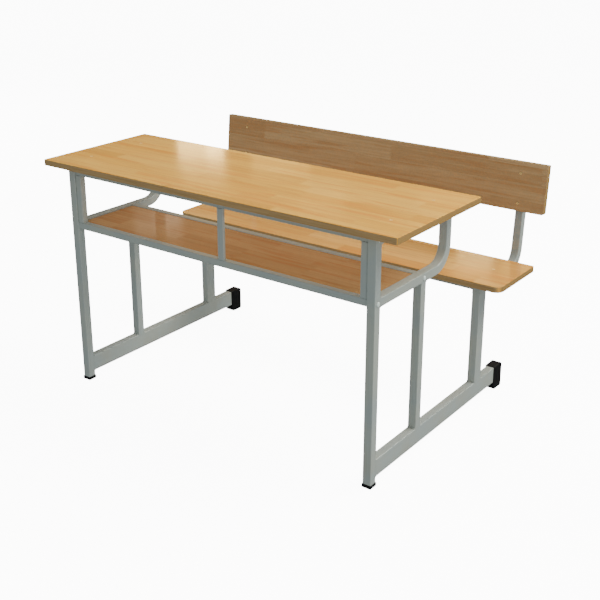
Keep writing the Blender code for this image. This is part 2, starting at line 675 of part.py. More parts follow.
def build_side_frame(side_name, side):
    """One welded side frame, with the holes that its bolts and screws pass through."""
    x = side * SIDE_CENTRE
    across = Vector((side, 0, 0))
    up = Vector((0, 0, 1))
    through = SIDE_TUBE + 2 * OVERRUN
    bolt_hole = BOLT_DIAMETER + 2 * BOLT_CLEARANCE
    screw_hole = SCREW_DIAMETER + 2 * CONTACT

    leg = add_post(f"front_leg_{side_name}", FOOT_THICKNESS + CONTACT, DESK_FRAME_TOP, x, LEG_CENTRE)
    bolts = [(x, LEG_CENTRE, height) for height in (SHELF_RAIL_HEIGHT, TOP_RAIL_HEIGHT)]
    cut_holes(leg, bolt_hole, through, bolts, across)

    start = LEG_REAR + CONTACT
    height = BASE_RAIL_CLEARANCE + BASE_RAIL_HEIGHT / 2
    base = f"base_rail_{side_name}"
    add_tube(base, [BASE_RAIL_END - start], (x, start, height), height=BASE_RAIL_HEIGHT)

    top = SHELF_RAIL_HEIGHT - SIDE_TUBE / 2 - CONTACT
    add_post(f"middle_post_{side_name}", BASE_RAIL_TOP + CONTACT, top, x, MIDDLE_POST_CENTRE)
    upright = DESK_FRAME_TOP - SHELF_RAIL_HEIGHT - BEND_RADIUS
    runs = [BRACKET_BEND - start, (math.pi / 2, BEND_RADIUS), upright]
    bracket = add_tube(f"desk_bracket_{side_name}", runs, (x, start, SHELF_RAIL_HEIGHT))
    cut_holes(bracket, bolt_hole, through, [(x, MIDDLE_POST_CENTRE, SHELF_RAIL_HEIGHT)], across)

    end = BRACKET_CENTRE - SIDE_TUBE / 2 - CONTACT
    place = (x, start, DESK_FRAME_TOP - SIDE_TUBE / 2)
    bar = add_tube(f"desk_side_bar_{side_name}", [end - start], place)
    screws = [(x, y, DESK_FRAME_TOP) for _, y in DESK_SCREW_ROWS]
    cut_holes(bar, screw_hole, 2 * OVERRUN, screws, up)

    top = SEAT_BAR_CENTRE - SIDE_TUBE / 2 - CONTACT
    rear = f"rear_post_{side_name}"
    add_post(rear, BASE_RAIL_TOP + CONTACT, top, x, REAR_POST_CENTRE, depth=REAR_POST_DEPTH)
    cap = bar_mesh(SIDE_TUBE, SIDE_TUBE, SEAT_BAR_END, TUBE_CORNER_RADIUS)
    add_piece(f"seat_bar_end_{side_name}", cap, "grey_enamel", (x, REAR_POST_FRONT, SEAT_BAR_CENTRE))
    runs = [SEAT_BEND - SEAT_BAR_START, (BACK_TURN, BEND_RADIUS), BACK_POST_LENGTH]
    bracket = add_tube(f"seat_bracket_{side_name}", runs, (x, SEAT_BAR_START, SEAT_BAR_CENTRE))
    bolts = [(x, y, SEAT_RAIL_HEIGHT) for y in (REAR_POST_CENTRE, SEAT_REAR_RAIL)]
    cut_holes(bracket, bolt_hole, through, bolts, across)
    screws = [(x, SEAT_REAR - SEAT_SCREW_REAR, SEAT_FRAME_TOP)]
    cut_holes(bracket, screw_hole, 2 * OVERRUN, screws, up)
    screws = [back_place(x, BACKREST_RISE + row, SIDE_TUBE / 2) for _, row in BACK_SCREW_ROWS]
    cut_holes(bracket, screw_hole, 2 * OVERRUN, screws, BACK_OUT)


def build_bolts():
    """The bolts through the side frames into the ends of the cross rails."""
    length = SIDE_TUBE + 2 * CONTACT + END_PLATE_RECESS + END_PLATE - BOLT_END_GAP
    bolt = turned_mesh(dome_outline(BOLT_HEAD, BOLT_HEAD_HEIGHT, HEAD_RIM, BOLT_DIAMETER, length))
    outer = SIDE_CENTRE + SIDE_TUBE / 2 + CONTACT
    for side_name, side in SIDES:
        places = {f"{rail}_bolt_{side_name}": (side * outer, y, z) for rail, y, z in CROSS_RAILS}
        add_fasteners(places, bolt, Vector((side, 0, 0)))


def shoe_mesh(width, depth, height):
    """A rear shoe's outer form on the floor, from Y = 0 back, with its toe, heel and crown rounded."""
    bm = bmesh.new()
    bmesh.ops.create_grid(bm, x_segments=1, y_segments=1, size=1)
    bmesh.ops.scale(bm, vec=(depth / 2, height / 2, 1), verts=bm.verts)
    corners = ((-1, -1, SHOE_TOE_RADIUS), (1, -1, SHOE_HEEL_RADIUS), (1, 1, SHOE_CROWN_RADIUS))
    for back, up, radius in corners:
        corner = max(bm.verts, key=lambda vert: vert.co.x * back + vert.co.y * up)
        bmesh.ops.bevel(
            bm,
            geom=[corner],
            offset=radius,
            segments=CORNER_STEPS,
            profile=0.5,
            affect="VERTICES",
            material=-1,
        )
    made = bmesh.ops.extrude_face_region(bm, geom=bm.faces[:])["geom"]
    moved = [item for item in made if isinstance(item, bmesh.types.BMVert)]
    bmesh.ops.translate(bm, verts=moved, vec=(0, 0, width))
    bmesh.ops.translate(bm, verts=bm.verts, vec=(depth / 2, height / 2, -width / 2))
    # The outline's own X and Y become the shoe's Y and Z.
    onto = Matrix(((0, 0, 1, 0), (1, 0, 0, 0), (0, 1, 0, 0), (0, 0, 0, 1)))
    bmesh.ops.transform(bm, verts=bm.verts, matrix=onto)
    face_outward(bm)
    return to_mesh(bm, "shoe")


def add_shoe(side_name, side):
    """Adds the moulded shoe over the rear end of a base rail, with its socket and the hollows of its sole."""
    x, front = side * SIDE_CENTRE, BASE_RAIL_END - SHOE_GRIP
    cover = CONTACT + SHOE_WALL
    mesh = shoe_mesh(SIDE_TUBE + 2 * cover, SHOE_GRIP + cover, BASE_RAIL_TOP + cover)
    shoe = add_piece(f"rear_shoe_{side_name}", mesh, "black_plastic", (x, front, 0))
    round_edges(shoe, SHOE_EDGE_ROUND)

    gap = 2 * CONTACT
    reach = SHOE_GRIP + CONTACT + OVERRUN
    socket = bar_mesh(SIDE_TUBE + gap, BASE_RAIL_HEIGHT + gap, reach, TUBE_CORNER_RADIUS + CONTACT)
    place = (x, front - OVERRUN, BASE_RAIL_CLEARANCE + BASE_RAIL_HEIGHT / 2)
    combine(shoe, "DIFFERENCE", add_cutter(f"{shoe.name} socket", socket, place))

    # Two hollows in the sole, behind its solid toe and parted by a rib, leave a floor under the rail.
    depth = BASE_RAIL_CLEARANCE - CONTACT - SHOE_SOLE
    pocket = (SHOE_GRIP + CONTACT - SHOE_TOE_RADIUS - SHOE_WALL) / 2
    hollow = block_mesh(SIDE_TUBE, pocket, depth + OVERRUN)
    first, pitch = front + SHOE_TOE_RADIUS + pocket / 2, pocket + SHOE_WALL
    height = (depth - OVERRUN) / 2
    places = [Matrix.Translation((x, first + step * pitch, height)) for step in range(2)]
    combine(shoe, "DIFFERENCE", add_cutter(f"{shoe.name} hollows", copies_mesh(hollow, places)))


def build_plastics():
    """The feet under the front legs, the shoes on the base rails and the plugs in the backrest posts."""
    foot = SIDE_TUBE + 2 * FOOT_OVERHANG
    for side_name, side in SIDES:
        x = side * SIDE_CENTRE
        low = (x, LEG_CENTRE, FOOT_THICKNESS)
        add_plug(f"front_foot_{side_name}", foot, FOOT_THICKNESS, FOOT_SPIGOT, low)
        high = back_place(x, BACK_POST_LENGTH + CONTACT, 0)
        turn = (math.pi - BACKREST_LEAN, 0, 0)
        add_plug(f"back_post_plug_{side_name}", SIDE_TUBE, PLUG_THICKNESS, PLUG_SPIGOT, high, turn)
        add_shoe(side_name, side)


def build():
    """Builds the whole desk."""
    start_scene()
    for side_name, side in SIDES:
        build_side_frame(side_name, side)
    build_cross_rails()
    build_bolts()
    build_desk_top()
    build_shelf()
    build_seat()
    build_backrest()
    build_plastics()


if __name__ == "__main__":
    build()
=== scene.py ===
"""Dresses a school desk and its bench: laminated boards on an enamelled frame of square tube.

The frame gives every size and place, in metres, with X along the desk, Y from the desk's front edge back to
the backrest, and Z up. Each class makes one sub-assembly, and each finish is a small class of its own.
"""

from __future__ import annotations

import logging
import math
from dataclasses import dataclass, field
from enum import Enum
from typing import Any, Callable, Iterable, Sequence, Union

import bmesh
import bpy
from mathutils import Color, Euler, Matrix, Vector

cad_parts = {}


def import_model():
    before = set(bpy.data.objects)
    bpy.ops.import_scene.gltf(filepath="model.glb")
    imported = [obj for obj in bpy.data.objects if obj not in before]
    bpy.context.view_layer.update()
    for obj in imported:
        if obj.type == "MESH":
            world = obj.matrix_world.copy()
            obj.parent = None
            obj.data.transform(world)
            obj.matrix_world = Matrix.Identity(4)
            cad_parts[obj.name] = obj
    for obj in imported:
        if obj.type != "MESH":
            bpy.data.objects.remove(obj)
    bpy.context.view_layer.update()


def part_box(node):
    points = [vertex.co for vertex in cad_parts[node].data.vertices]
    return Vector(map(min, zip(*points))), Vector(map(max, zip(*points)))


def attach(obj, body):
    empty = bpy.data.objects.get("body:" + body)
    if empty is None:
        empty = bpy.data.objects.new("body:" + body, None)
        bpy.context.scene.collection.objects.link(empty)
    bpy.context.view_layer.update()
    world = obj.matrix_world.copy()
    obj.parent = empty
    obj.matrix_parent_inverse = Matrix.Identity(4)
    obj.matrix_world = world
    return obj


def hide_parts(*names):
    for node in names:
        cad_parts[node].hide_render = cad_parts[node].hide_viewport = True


LOG = logging.getLogger("school_desk")
ROOT = "root"
SIDES = ("left", "right")
COLUMNS = ("left", "middle", "right")
ROWS = ("front", "rear")
UP = Vector((0, 0, 1))
STAND = Matrix.Rotation(math.pi / 2, 4, "X")

BACK_LEAN = math.radians(5)
TUBE_WALL = 0.0012
SHARP_ANGLE = math.radians(35)
MERGE_DISTANCE = 0.00001
FLAT_SHARE = 0.99
ARC_PROFILE = 0.5
PLATE_CORNER_SEGMENTS = 6
PLATE_RIM_SEGMENTS = 3
CHANNEL_TOP = 255

Mesh = bmesh.types.BMesh
Socket = bpy.types.NodeSocket
Colour = tuple[float, float, float, float]
Triple = tuple[float, float, float]

PLAIN_GREY: Colour = (0.5, 0.5, 0.5, 1.0)
AMBER: Triple = (1.0, 0.68, 0.25)
HONEY: Triple = (1.0, 0.62, 0.13)
CREAM: Triple = (1.0, 0.74, 0.48)


class Slot(Enum):
    """The record's material slots."""

    LACQUERED_WOOD = "lacquered_wood"
    SHELF_WOOD = "shelf_wood"
    GREY_ENAMEL = "grey_enamel"
    BLACK_PLASTIC = "black_plastic"
    ZINC_STEEL = "zinc_steel"


@dataclass(frozen=True)
class Finish:
    """A material, and the slot that it stands for."""

    material: bpy.types.Material
    slot: Slot


def paint(red: int, green: int, blue: int) -> Colour:
    """The linear colour that a shader takes for an sRGB colour with channels up to 255."""
    channels = (red / CHANNEL_TOP, green / CHANNEL_TOP, blue / CHANNEL_TOP)
    return (*Color(channels).from_srgb_to_scene_linear(), 1.0)


def arithmetic(operation: str, flipped: bool = False) -> Callable[..., Reading]:
    """Makes an operator on readings out of a Math node's operation.

    Args:
        operation: The node's operation.
        flipped: Whether the reading comes second.

    Returns:
        The operator, which takes a reading and at most one more number.
    """

    def operator(reading: Reading, *others: Number) -> Reading:
        """Adds the node and gives its result."""
        values = (*others, reading) if flipped else (reading, *others)
        return reading.shader.math(operation, *values)

    return operator


class Reading:
    """A number that varies over a surface. Python's operators on it add Math nodes."""

    def __init__(self, shader: Shader, socket: Socket) -> None:
        """Keeps the shader and the socket that gives the number."""
        self.shader = shader
        self.socket = socket

    __add__ = arithmetic("ADD")
    __sub__ = arithmetic("SUBTRACT")
    __rsub__ = arithmetic("SUBTRACT", flipped=True)
    __mul__ = arithmetic("MULTIPLY")
    __truediv__ = arithmetic("DIVIDE")
    __pow__ = arithmetic("POWER")
    __abs__ = arithmetic("ABSOLUTE")
    floor = arithmetic("FLOOR")
    fraction = arithmetic("FRACT")
    least = arithmetic("MINIMUM")

    def wave(self) -> Reading:
        """A sine of this number of whole turns, between 0 and 1."""
        return self.shader.math("SINE", self * math.tau) * 0.5 + 0.5

    def rise(self, low: float, high: float) -> Reading:
        """A soft step from 0 at one value to 1 at another.

        Args:
            low: Where the step starts.
            high: Where it ends. It may be the smaller one, and then the step falls.

        Returns:
            The step, between 0 and 1.
        """
        sockets = {"Value": self, "From Min": low, "From Max": high}
        settings = {"interpolation_type": "SMOOTHSTEP"}
        return Reading(self.shader, self.shader.node("ShaderNodeMapRange", settings, sockets).outputs[0])


Number = Union[Reading, float]


class Shader:
    """One material's nodes, round its Principled shader."""

    def __init__(self, name: str) -> None:
        """Makes the material, and the coordinates that its patterns read.

        Args:
            name: The material's name.
        """
        self.material = bpy.data.materials.new(name)
        self.material.use_nodes = True
        self.tree = self.material.node_tree
        self.surface = self.tree.nodes["Principled BSDF"]
        coordinates = self.node("ShaderNodeTexCoord")
        self.place = coordinates.outputs["Object"]
        self.facing = coordinates.outputs["Normal"]

    def node(
        self, kind: str, settings: dict[str, Any] | None = None, sockets: dict[str, Any] | None = None
    ) -> bpy.types.Node:
        """Adds a node.

        Args:
            kind: The node's type.
            settings: Its properties, which are set first.
            sockets: The values of its sockets, or what is linked to them.

        Returns:
            The node.
        """
        made = self.tree.nodes.new(kind)
        for key, value in (settings or {}).items():
            setattr(made, key, value)
        for key, value in (sockets or {}).items():
            self.feed(made, key, value)
        return made

    def feed(self, node: bpy.types.Node, key: str, value: Any) -> None:
        """Sets or links one socket of a node.

        Args:
            node: The node.
            key: The socket's identifier or name.
            value: A number, a colour, a vector, a reading or another node's socket.
        """
        socket = next(s for s in node.inputs if key in (s.identifier, s.name) and s.enabled)
        if isinstance(value, Reading):
            value = value.socket
        if isinstance(value, Socket):
            self.tree.links.new(value, socket)
        else:
            socket.default_value = value

    def math(self, operation: str, *values: Number) -> Reading:
        """The result of a Math node on one or two numbers."""
        sockets = dict(zip(("Value", "Value_001"), values))
        return Reading(self, self.node("ShaderNodeMath", {"operation": operation}, sockets).outputs[0])

    def vector(self, operation: str, *values: Any) -> Socket:
        """The result of a Vector Math node on two vectors."""
        sockets = dict(zip(("Vector", "Vector_001"), values))
        return self.node("ShaderNodeVectorMath", {"operation": operation}, sockets).outputs["Vector"]

    def split(self, vector: Socket) -> list[Reading]:
        """The three numbers of a vector."""
        made = self.node("ShaderNodeSeparateXYZ", sockets={"Vector": vector})
        return [Reading(self, output) for output in made.outputs]

    def noise(
        self,
        place: Socket,
        scales: Triple | float,
        detail: float = 3.0,
        roughness: float = 0.5,
    ) -> Reading:
        """Soft noise between about 0.2 and 0.8.

        Args:
            place: Where it is read.
            scales: Features to the metre, alike or along each axis.
            detail: How many finer octaves it has.
            roughness: The share of each octave.

        Returns:
            The noise.
        """
        scale = 1.0
        if isinstance(scales, tuple):
            place = self.vector("MULTIPLY", place, scales)
        else:
            scale = scales
        sockets = {"Vector": place, "Scale": scale, "Detail": detail, "Roughness": roughness}
        return Reading(self, self.node("ShaderNodeTexNoise", sockets=sockets).outputs[0])

    def cells(self, scale: float) -> Reading:
        """The distance to the nearest point of a scatter, with so many points to the metre."""
        made = self.node("ShaderNodeTexVoronoi", sockets={"Vector": self.place, "Scale": scale})
        return Reading(self, made.outputs["Distance"])

    def chance(self, x: Number, y: Number, z: Number) -> tuple[Reading, Socket]:
        """A random number, and a random vector, for each distinct place."""
        place = self.node("ShaderNodeCombineXYZ", sockets={"X": x, "Y": y, "Z": z}).outputs[0]
        made = self.node("ShaderNodeTexWhiteNoise", {"noise_dimensions": "3D"}, {"Vector": place})
        return Reading(self, made.outputs["Value"]), made.outputs["Color"]

    def mixed(self, share: Number, first: Any, second: Any) -> Socket:
        """A mix of two colours.

        Args:
            share: The second colour's share.
            first: The first colour.
            second: The second colour.

        Returns:
            The mixed colour.
        """
        sockets = {"Factor_Float": share, "A_Color": first, "B_Color": second}
        made = self.node("ShaderNodeMix", {"data_type": "RGBA"}, sockets)
        return next(s for s in made.outputs if s.identifier == "Result_Color")

    def finished(
        self, relief: Reading | None = None, depth: float = 0.0, **inputs: Any
    ) -> bpy.types.Material:
        """Feeds the surface, and ends the material.

        Args:
            relief: The height of the surface's relief, from 0 to 1.
            depth: How deep that relief is, in metres.
            inputs: The shader's inputs, with _ for a blank.

        Returns:
            The material.
        """
        # The material's plain base colour, outside its nodes.
        self.material.diffuse_color = PLAIN_GREY
        for key, value in inputs.items():
            self.feed(self.surface, key.replace("_", " "), value)
        if relief is not None:
            sockets = {"Height": relief, "Distance": depth, "Strength": 1.0}
            bump = self.node("ShaderNodeBump", sockets=sockets)
            self.feed(self.surface, "Normal", bump.outputs["Normal"])
        return self.material


@dataclass(frozen=True)
class Timber:
    """The colours of one kind of wood."""

    pale: Colour
    plain: Colour
    deep: Colour
    flame: Colour
    glue: Colour = paint(128, 88, 42)
    edge: Colour = paint(169, 139, 94)
    edge_deep: Colour = paint(147, 117, 75)
    end: Colour = paint(160, 128, 76)
    end_deep: Colour = paint(138, 107, 58)


@dataclass(frozen=True)
class LaminatedWood:
    """Lacquered board of finger-jointed strips, glued side by side along its length.

    Each stretch counts a pattern's features to the metre, along the grain, across it and through the board.
    """

    timber: Timber
    slot: Slot
    middle: Vector
    lean: float
    seed: float
    block_length: float
    strip_width: float = 0.051
    finger_length: float = 0.009
    finger_pitch: float = 0.0046
    glue_line: float = 0.0007
    ring_width: float = 0.012
    end_ring_width: float = 0.0032
    pith_depth: float = 0.034
    shortest_block: float = 0.7
    block_spread: float = 0.6
    block_shift: float = 9.0
    ring_warp: float = 4.0
    ring_shift: float = 5.0
    flame_pick: float = 7.31
    smear_count: float = 5.0
    grain_depth: float = 0.00012
    warp_stretch: Triple = (2.2, 15.0, 15.0)
    streak_stretch: Triple = (3.5, 70.0, 70.0)
    fibre_stretch: Triple = (7.0, 260.0, 260.0)
    cloud_stretch: Triple = (5.0, 24.0, 24.0)
    pore_stretch: Triple = (150.0, 1300.0, 1300.0)
    dullness: float = 0.45
    sheen: float = 0.1
    lacquer: float = 0.5
    lacquer_dullness: float = 0.08
    # How far faces that point down are darkened towards the edge colour.
    underside_darkening: float = 0.3

    def finish(self, name: str) -> Finish:
        """Makes the finish, whose strips run along the board's length.

        Args:
            name: The material's name.

        Returns:
            The finish.
        """
        shader = Shader(name)
        timber = self.timber
        place = self.levelled(shader, shader.place, self.middle)
        x, y, z = shader.split(place)
        facing = shader.split(self.levelled(shader, shader.facing, Vector()))

        across = y * (1 / self.strip_width) + self.seed
        strip = across.floor()
        jog, _ = shader.chance(strip, self.seed, 0.5)
        length = (jog * self.block_spread + self.shortest_block) * self.block_length
        finger = abs((y * (1 / self.finger_pitch)).fraction() - 0.5) * (2 * self.finger_length)
        along = (x + finger) / length + jog * self.block_shift
        tone, drift = shader.chance(strip, along.floor(), self.seed + 0.5)

        grain = shader.vector("ADD", place, drift)
        warp = shader.noise(grain, self.warp_stretch)
        rings = (y * (1 / self.ring_width) + warp * self.ring_warp + tone).wave()
        streak = shader.noise(grain, self.streak_stretch, roughness=0.55)
        fibre = shader.noise(grain, self.fibre_stretch, detail=4, roughness=0.62)
        cloud = shader.noise(grain, self.cloud_stretch)
        pores = shader.noise(grain, self.pore_stretch, detail=1).rise(0.60, 0.72)
        strip_seam = (0.5 - abs(across.fraction() - 0.5)) * self.strip_width
        block_seam = (0.5 - abs(along.fraction() - 0.5)) * length
        seam = strip_seam.least(block_seam).rise(self.glue_line, 0)

        colour = timber.pale
        for share, tint in (
            (tone.rise(0.1, 0.7), timber.plain),
            (tone.rise(0.6, 1.0) * 0.6, timber.deep),
            ((tone * self.flame_pick).fraction().rise(0.86, 0.93) * 0.4, timber.flame),
            (rings * cloud.rise(0.3, 0.75) * 0.6, timber.deep),
            (streak.rise(0.5, 0.66) * 0.75, timber.flame),
            (streak.rise(0.48, 0.32) * 0.55, timber.pale),
            (fibre.rise(0.48, 0.76) * 0.6, timber.deep),
            (fibre.rise(0.45, 0.22) * 0.45, timber.pale),
            (pores * 0.3, timber.glue),
            (seam * 0.3, timber.glue),
            # Faces that point down are mixed towards the darker edge colour.
            (facing[2].rise(-0.5, -0.8) * self.underside_darkening, timber.edge),
        ):
            colour = shader.mixed(share, colour, tint)
        side = shader.mixed(fibre.rise(0.4, 0.7) * 0.8, timber.edge, timber.edge_deep)
        colour = shader.mixed(abs(facing[1]).rise(0.7, 0.95), colour, side)
        end_share = abs(facing[0]).rise(0.75, 0.95)
        colour = shader.mixed(end_share, colour, self.end_grain(shader, across, jog, z, pores))

        smear = shader.noise(place, self.smear_count, detail=4, roughness=0.6).rise(0.35, 0.75)
        material = shader.finished(
            fibre * 0.4 + rings * 0.25 - pores * 0.3 - seam * 0.6 + 0.5,
            self.grain_depth,
            Base_Color=colour,
            Roughness=smear * 0.1 + pores * 0.06 + end_share * 0.1 + self.dullness,
            Specular_IOR_Level=self.sheen,
            Coat_Weight=(1 - smear * 0.25 - pores * 0.2 - seam * 0.2) * self.lacquer,
            Coat_Roughness=self.lacquer_dullness,
        )
        return Finish(material, self.slot)

    def levelled(self, shader: Shader, vector: Socket, middle: Vector) -> Socket:
        """Turns a place or a direction into the board's own axes, with Z through its thickness."""
        sockets = {"Vector": vector, "Location": tuple(middle), "Rotation": (self.lean, 0, 0)}
        return shader.node("ShaderNodeMapping", {"vector_type": "TEXTURE"}, sockets).outputs["Vector"]

    def end_grain(
        self, shader: Shader, across: Reading, jog: Reading, z: Reading, pores: Reading
    ) -> Socket:
        """The colour of a sawn end, where each strip shows the arcs of its rings.

        Args:
            shader: The shader.
            across: The count of strips across the board.
            jog: Each strip's random number.
            z: The height in the board.
            pores: The open pores.

        Returns:
            The colour.
        """
        side = (across.fraction() - 0.5 + (jog - 0.5) * 0.8) * self.strip_width
        deep = z + self.pith_depth
        radius = (side * side + deep * deep) ** 0.5
        arcs = (radius * (1 / self.end_ring_width) + jog * self.ring_shift).wave()
        colour = shader.mixed(arcs, self.timber.end, self.timber.end_deep)
        return shader.mixed(pores * 0.4, colour, self.timber.glue)


@dataclass(frozen=True)
class GreyEnamel:
    """Semi-gloss grey paint on steel, with the fine waves that a spray gun leaves."""

    cool: Colour = paint(165, 174, 169)
    warm: Colour = paint(173, 179, 168)
    dust: Colour = paint(152, 148, 136)
    cloud_count: float = 7.0
    nib_count: float = 160.0
    rub_stretch: Triple = (30.0, 30.0, 240.0)
    peel_width: float = 0.0016
    peel_depth: float = 0.00004
    dust_height: float = 0.16
    dullness: float = 0.3
    metal_share: float = 0.15
    gloss: float = 0.15
    gloss_dullness: float = 0.2

    def finish(self) -> Finish:
        """Makes the finish.

        Returns:
            The finish.
        """
        shader = Shader("grey_enamel")
        _, _, z = shader.split(shader.place)
        cloud = shader.noise(shader.place, self.cloud_count, detail=4, roughness=0.6)
        peel = shader.noise(shader.place, 1 / self.peel_width, detail=2)
        nibs = shader.cells(self.nib_count).rise(0.12, 0.03)
        rubs = shader.noise(shader.place, self.rub_stretch).rise(0.62, 0.78)
        settled = z.rise(self.dust_height, 0) * cloud.rise(0.35, 0.7)
        colour = shader.mixed(cloud.rise(0.35, 0.65), self.cool, self.warm)
        colour = shader.mixed(settled * 0.5, colour, self.dust)
        colour = shader.mixed(rubs * 0.18, colour, self.dust)
        material = shader.finished(
            peel * 0.7 + nibs * 0.5,
            self.peel_depth,
            Base_Color=colour,
            Roughness=cloud * 0.12 + rubs * 0.12 + settled * 0.15 + self.dullness,
            Metallic=self.metal_share,
            Coat_Weight=self.gloss,
            Coat_Roughness=self.gloss_dullness,
        )
        return Finish(material, Slot.GREY_ENAMEL)


@dataclass(frozen=True)
class BlackPlastic:
    """Moulded black plastic with a fine leather-like grain, scuffed paler near the floor."""

    dark: Colour = paint(15, 15, 16)
    faded: Colour = paint(30, 30, 29)
    scuff: Colour = paint(70, 68, 65)
    cloud_count: float = 60.0
    mark_stretch: Triple = (90.0, 90.0, 700.0)
    grain_width: float = 0.0011
    grain_depth: float = 0.00009
    scuff_height: float = 0.05
    dullness: float = 0.42
    sheen: float = 0.3

    def finish(self) -> Finish:
        """Makes the finish.

        Returns:
            The finish.
        """
        shader = Shader("black_plastic")
        _, _, z = shader.split(shader.place)
        grain = shader.cells(1 / self.grain_width)
        cloud = shader.noise(shader.place, self.cloud_count, detail=4, roughness=0.65)
        marks = shader.noise(shader.place, self.mark_stretch).rise(0.6, 0.75)
        low = z.rise(self.scuff_height, 0)
        colour = shader.mixed(cloud.rise(0.35, 0.75) * 0.6, self.dark, self.faded)
        material = shader.finished(
            grain,
            self.grain_depth,
            Base_Color=shader.mixed(marks * (low * 0.5 + 0.08), colour, self.scuff),
            Roughness=cloud * 0.2 + marks * 0.15 + self.dullness,
            Specular_IOR_Level=self.sheen,
        )
        return Finish(material, Slot.BLACK_PLASTIC)


@dataclass(frozen=True)
class ZincSteel:
    """Bright zinc plate, faintly clouded, with the marks of the driver."""

    name: str
    bright: Colour
    clouded: Colour
    metal_share: float
    dullness: float
    cloud_count: float = 260.0
    scratch_stretch: Triple = (900.0, 4000.0, 2600.0)
    scratch_depth: float = 0.00002

    def finish(self) -> Finish:
        """Makes the finish.

        Returns:
            The finish.
        """
        shader = Shader(self.name)
        cloud = shader.noise(shader.place, self.cloud_count, detail=4, roughness=0.6)
        scratches = shader.noise(shader.place, self.scratch_stretch, detail=2)
        material = shader.finished(
            scratches,
            self.scratch_depth,
            Base_Color=shader.mixed(cloud.rise(0.4, 0.7), self.bright, self.clouded),
            Roughness=cloud * 0.2 + scratches * 0.12 + self.dullness,
            Metallic=self.metal_share,
        )
        return Finish(material, Slot.ZINC_STEEL)


@dataclass(frozen=True)
class PaperSweep:
    """Matt white paper, for the studio's floor."""

    white: Colour = (0.92, 0.92, 0.915, 1.0)
    shade: Colour = (0.89, 0.89, 0.885, 1.0)
    cloud_count: float = 0.8
    dullness: float = 0.9
    glow: float = 12.0

    def material(self) -> bpy.types.Material:
        """Makes the material.

        Returns:
            The material.
        """
        shader = Shader("paper_sweep")
        cloud = shader.noise(shader.place, self.cloud_count, detail=2)
        colour = shader.mixed(cloud, self.white, self.shade)
        return shader.finished(
            Base_Color=colour,
            Roughness=self.dullness,
            Emission_Color=colour,
            Emission_Strength=self.glow,
        )


@dataclass(frozen=True)
class Box:
    """The lowest and highest corners of a part of the frame."""

    low: Vector
    high: Vector

    @classmethod
    def of(cls, node: str) -> Box:
        """The box of a CAD node."""
        return cls(*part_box(node))

    @property
    def middle(self) -> Vector:
        """The box's middle."""
        return (self.low + self.high) / 2

    @property
    def size(self) -> Vector:
        """The box's length along each axis."""
        return self.high - self.low


def verts_of(geom: Iterable[Any]) -> list[bmesh.types.BMVert]:
    """The vertices among what an operator made."""
    return [item for item in geom if isinstance(item, bmesh.types.BMVert)]


def everything(bm: Mesh) -> list[Any]:
    """All vertices, edges and faces of a shape."""
    return bm.verts[:] + bm.edges[:] + bm.faces[:]


def border(bm: Mesh) -> list[bmesh.types.BMEdge]:
    """The open edges of a shape."""
    return [edge for edge in bm.edges if edge.is_boundary]


def sharp_edges(bm: Mesh) -> list[bmesh.types.BMEdge]:
    """The edges where two faces meet at more than the sharp angle."""
    return [edge for edge in bm.edges if edge.calc_face_angle() > SHARP_ANGLE]


def ring_of(bm: Mesh, verts: Iterable[bmesh.types.BMVert]) -> list[bmesh.types.BMEdge]:
    """The edges that lie wholly among some vertices."""
    chosen = set(verts)
    return [edge for edge in bm.edges if set(edge.verts) <= chosen]


def face_out(bm: Mesh) -> None:
    """Turns the faces of a closed shape outward."""
    bmesh.ops.recalc_face_normals(bm, faces=bm.faces)
    if bm.calc_volume(signed=True) < 0:
        bmesh.ops.reverse_faces(bm, faces=bm.faces)


def linked(name: str, data: bpy.types.ID) -> bpy.types.Object:
    """Makes an object of a mesh, a light or a camera, and puts it in the scene."""
    made = bpy.data.objects.new(name, data)
    bpy.context.scene.collection.objects.link(made)
    return made


def mesh_of(name: str, bm: Mesh, material: bpy.types.Material) -> bpy.types.Mesh:
    """Makes a smooth mesh of a shape, which is freed.

    Args:
        name: The mesh's name.
        bm: The shape.
        material: Its material.

    Returns:
        The mesh.
    """
    mesh = bpy.data.meshes.new(name)
    bm.to_mesh(mesh)
    bm.free()
    mesh.materials.append(material)
    mesh.shade_smooth()
    return mesh


def finish_piece(
    name: str,
    bm: Mesh,
    finish: Finish,
    nodes: Sequence[str] = (),
    place: Matrix | None = None,
    wall: float = 0.0,
) -> None:
    """Makes an object of a finished shape, with its place in its mesh, and sets it in the frame.

    Args:
        name: The piece's name.
        bm: The shape, which is freed.
        finish: Its finish.
        nodes: The CAD nodes that the piece stands for.
        place: Where the shape goes.
        wall: The thickness of the wall of a shape that is an open skin.
    """
    if place is not None:
        bmesh.ops.transform(bm, matrix=place, verts=bm.verts)
    if not wall:
        face_out(bm)
    mesh = mesh_of(name, bm, finish.material)
    mesh.set_sharp_from_angle(angle=SHARP_ANGLE)
    piece = linked(name, mesh)
    if wall:
        shell = piece.modifiers.new("wall", "SOLIDIFY")
        shell.thickness = wall
        shell.offset = -1
        shell.use_even_offset = True
    normals = piece.modifiers.new("flat faces", "WEIGHTED_NORMAL")
    normals.keep_sharp = True
    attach(piece, ROOT)
    if nodes:
        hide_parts(*nodes)
    LOG.info("made %s", name)


def block(size: Sequence[float]) -> Mesh:
    """A plain block about the origin."""
    bm = bmesh.new()
    bmesh.ops.create_cube(bm, size=1)
    bmesh.ops.scale(bm, vec=size, verts=bm.verts)
    return bm


def round_off(
    bm: Mesh, geom: Sequence[Any], radius: float, segments: int, affect: str = "EDGES"
) -> None:
    """Rounds edges of a shape, or its VERTICES, with arcs of so many flats."""
    arc = {"offset": radius, "segments": segments, "profile": ARC_PROFILE, "affect": affect}
    bmesh.ops.bevel(bm, geom=geom, material=-1, clamp_overlap=True, **arc)


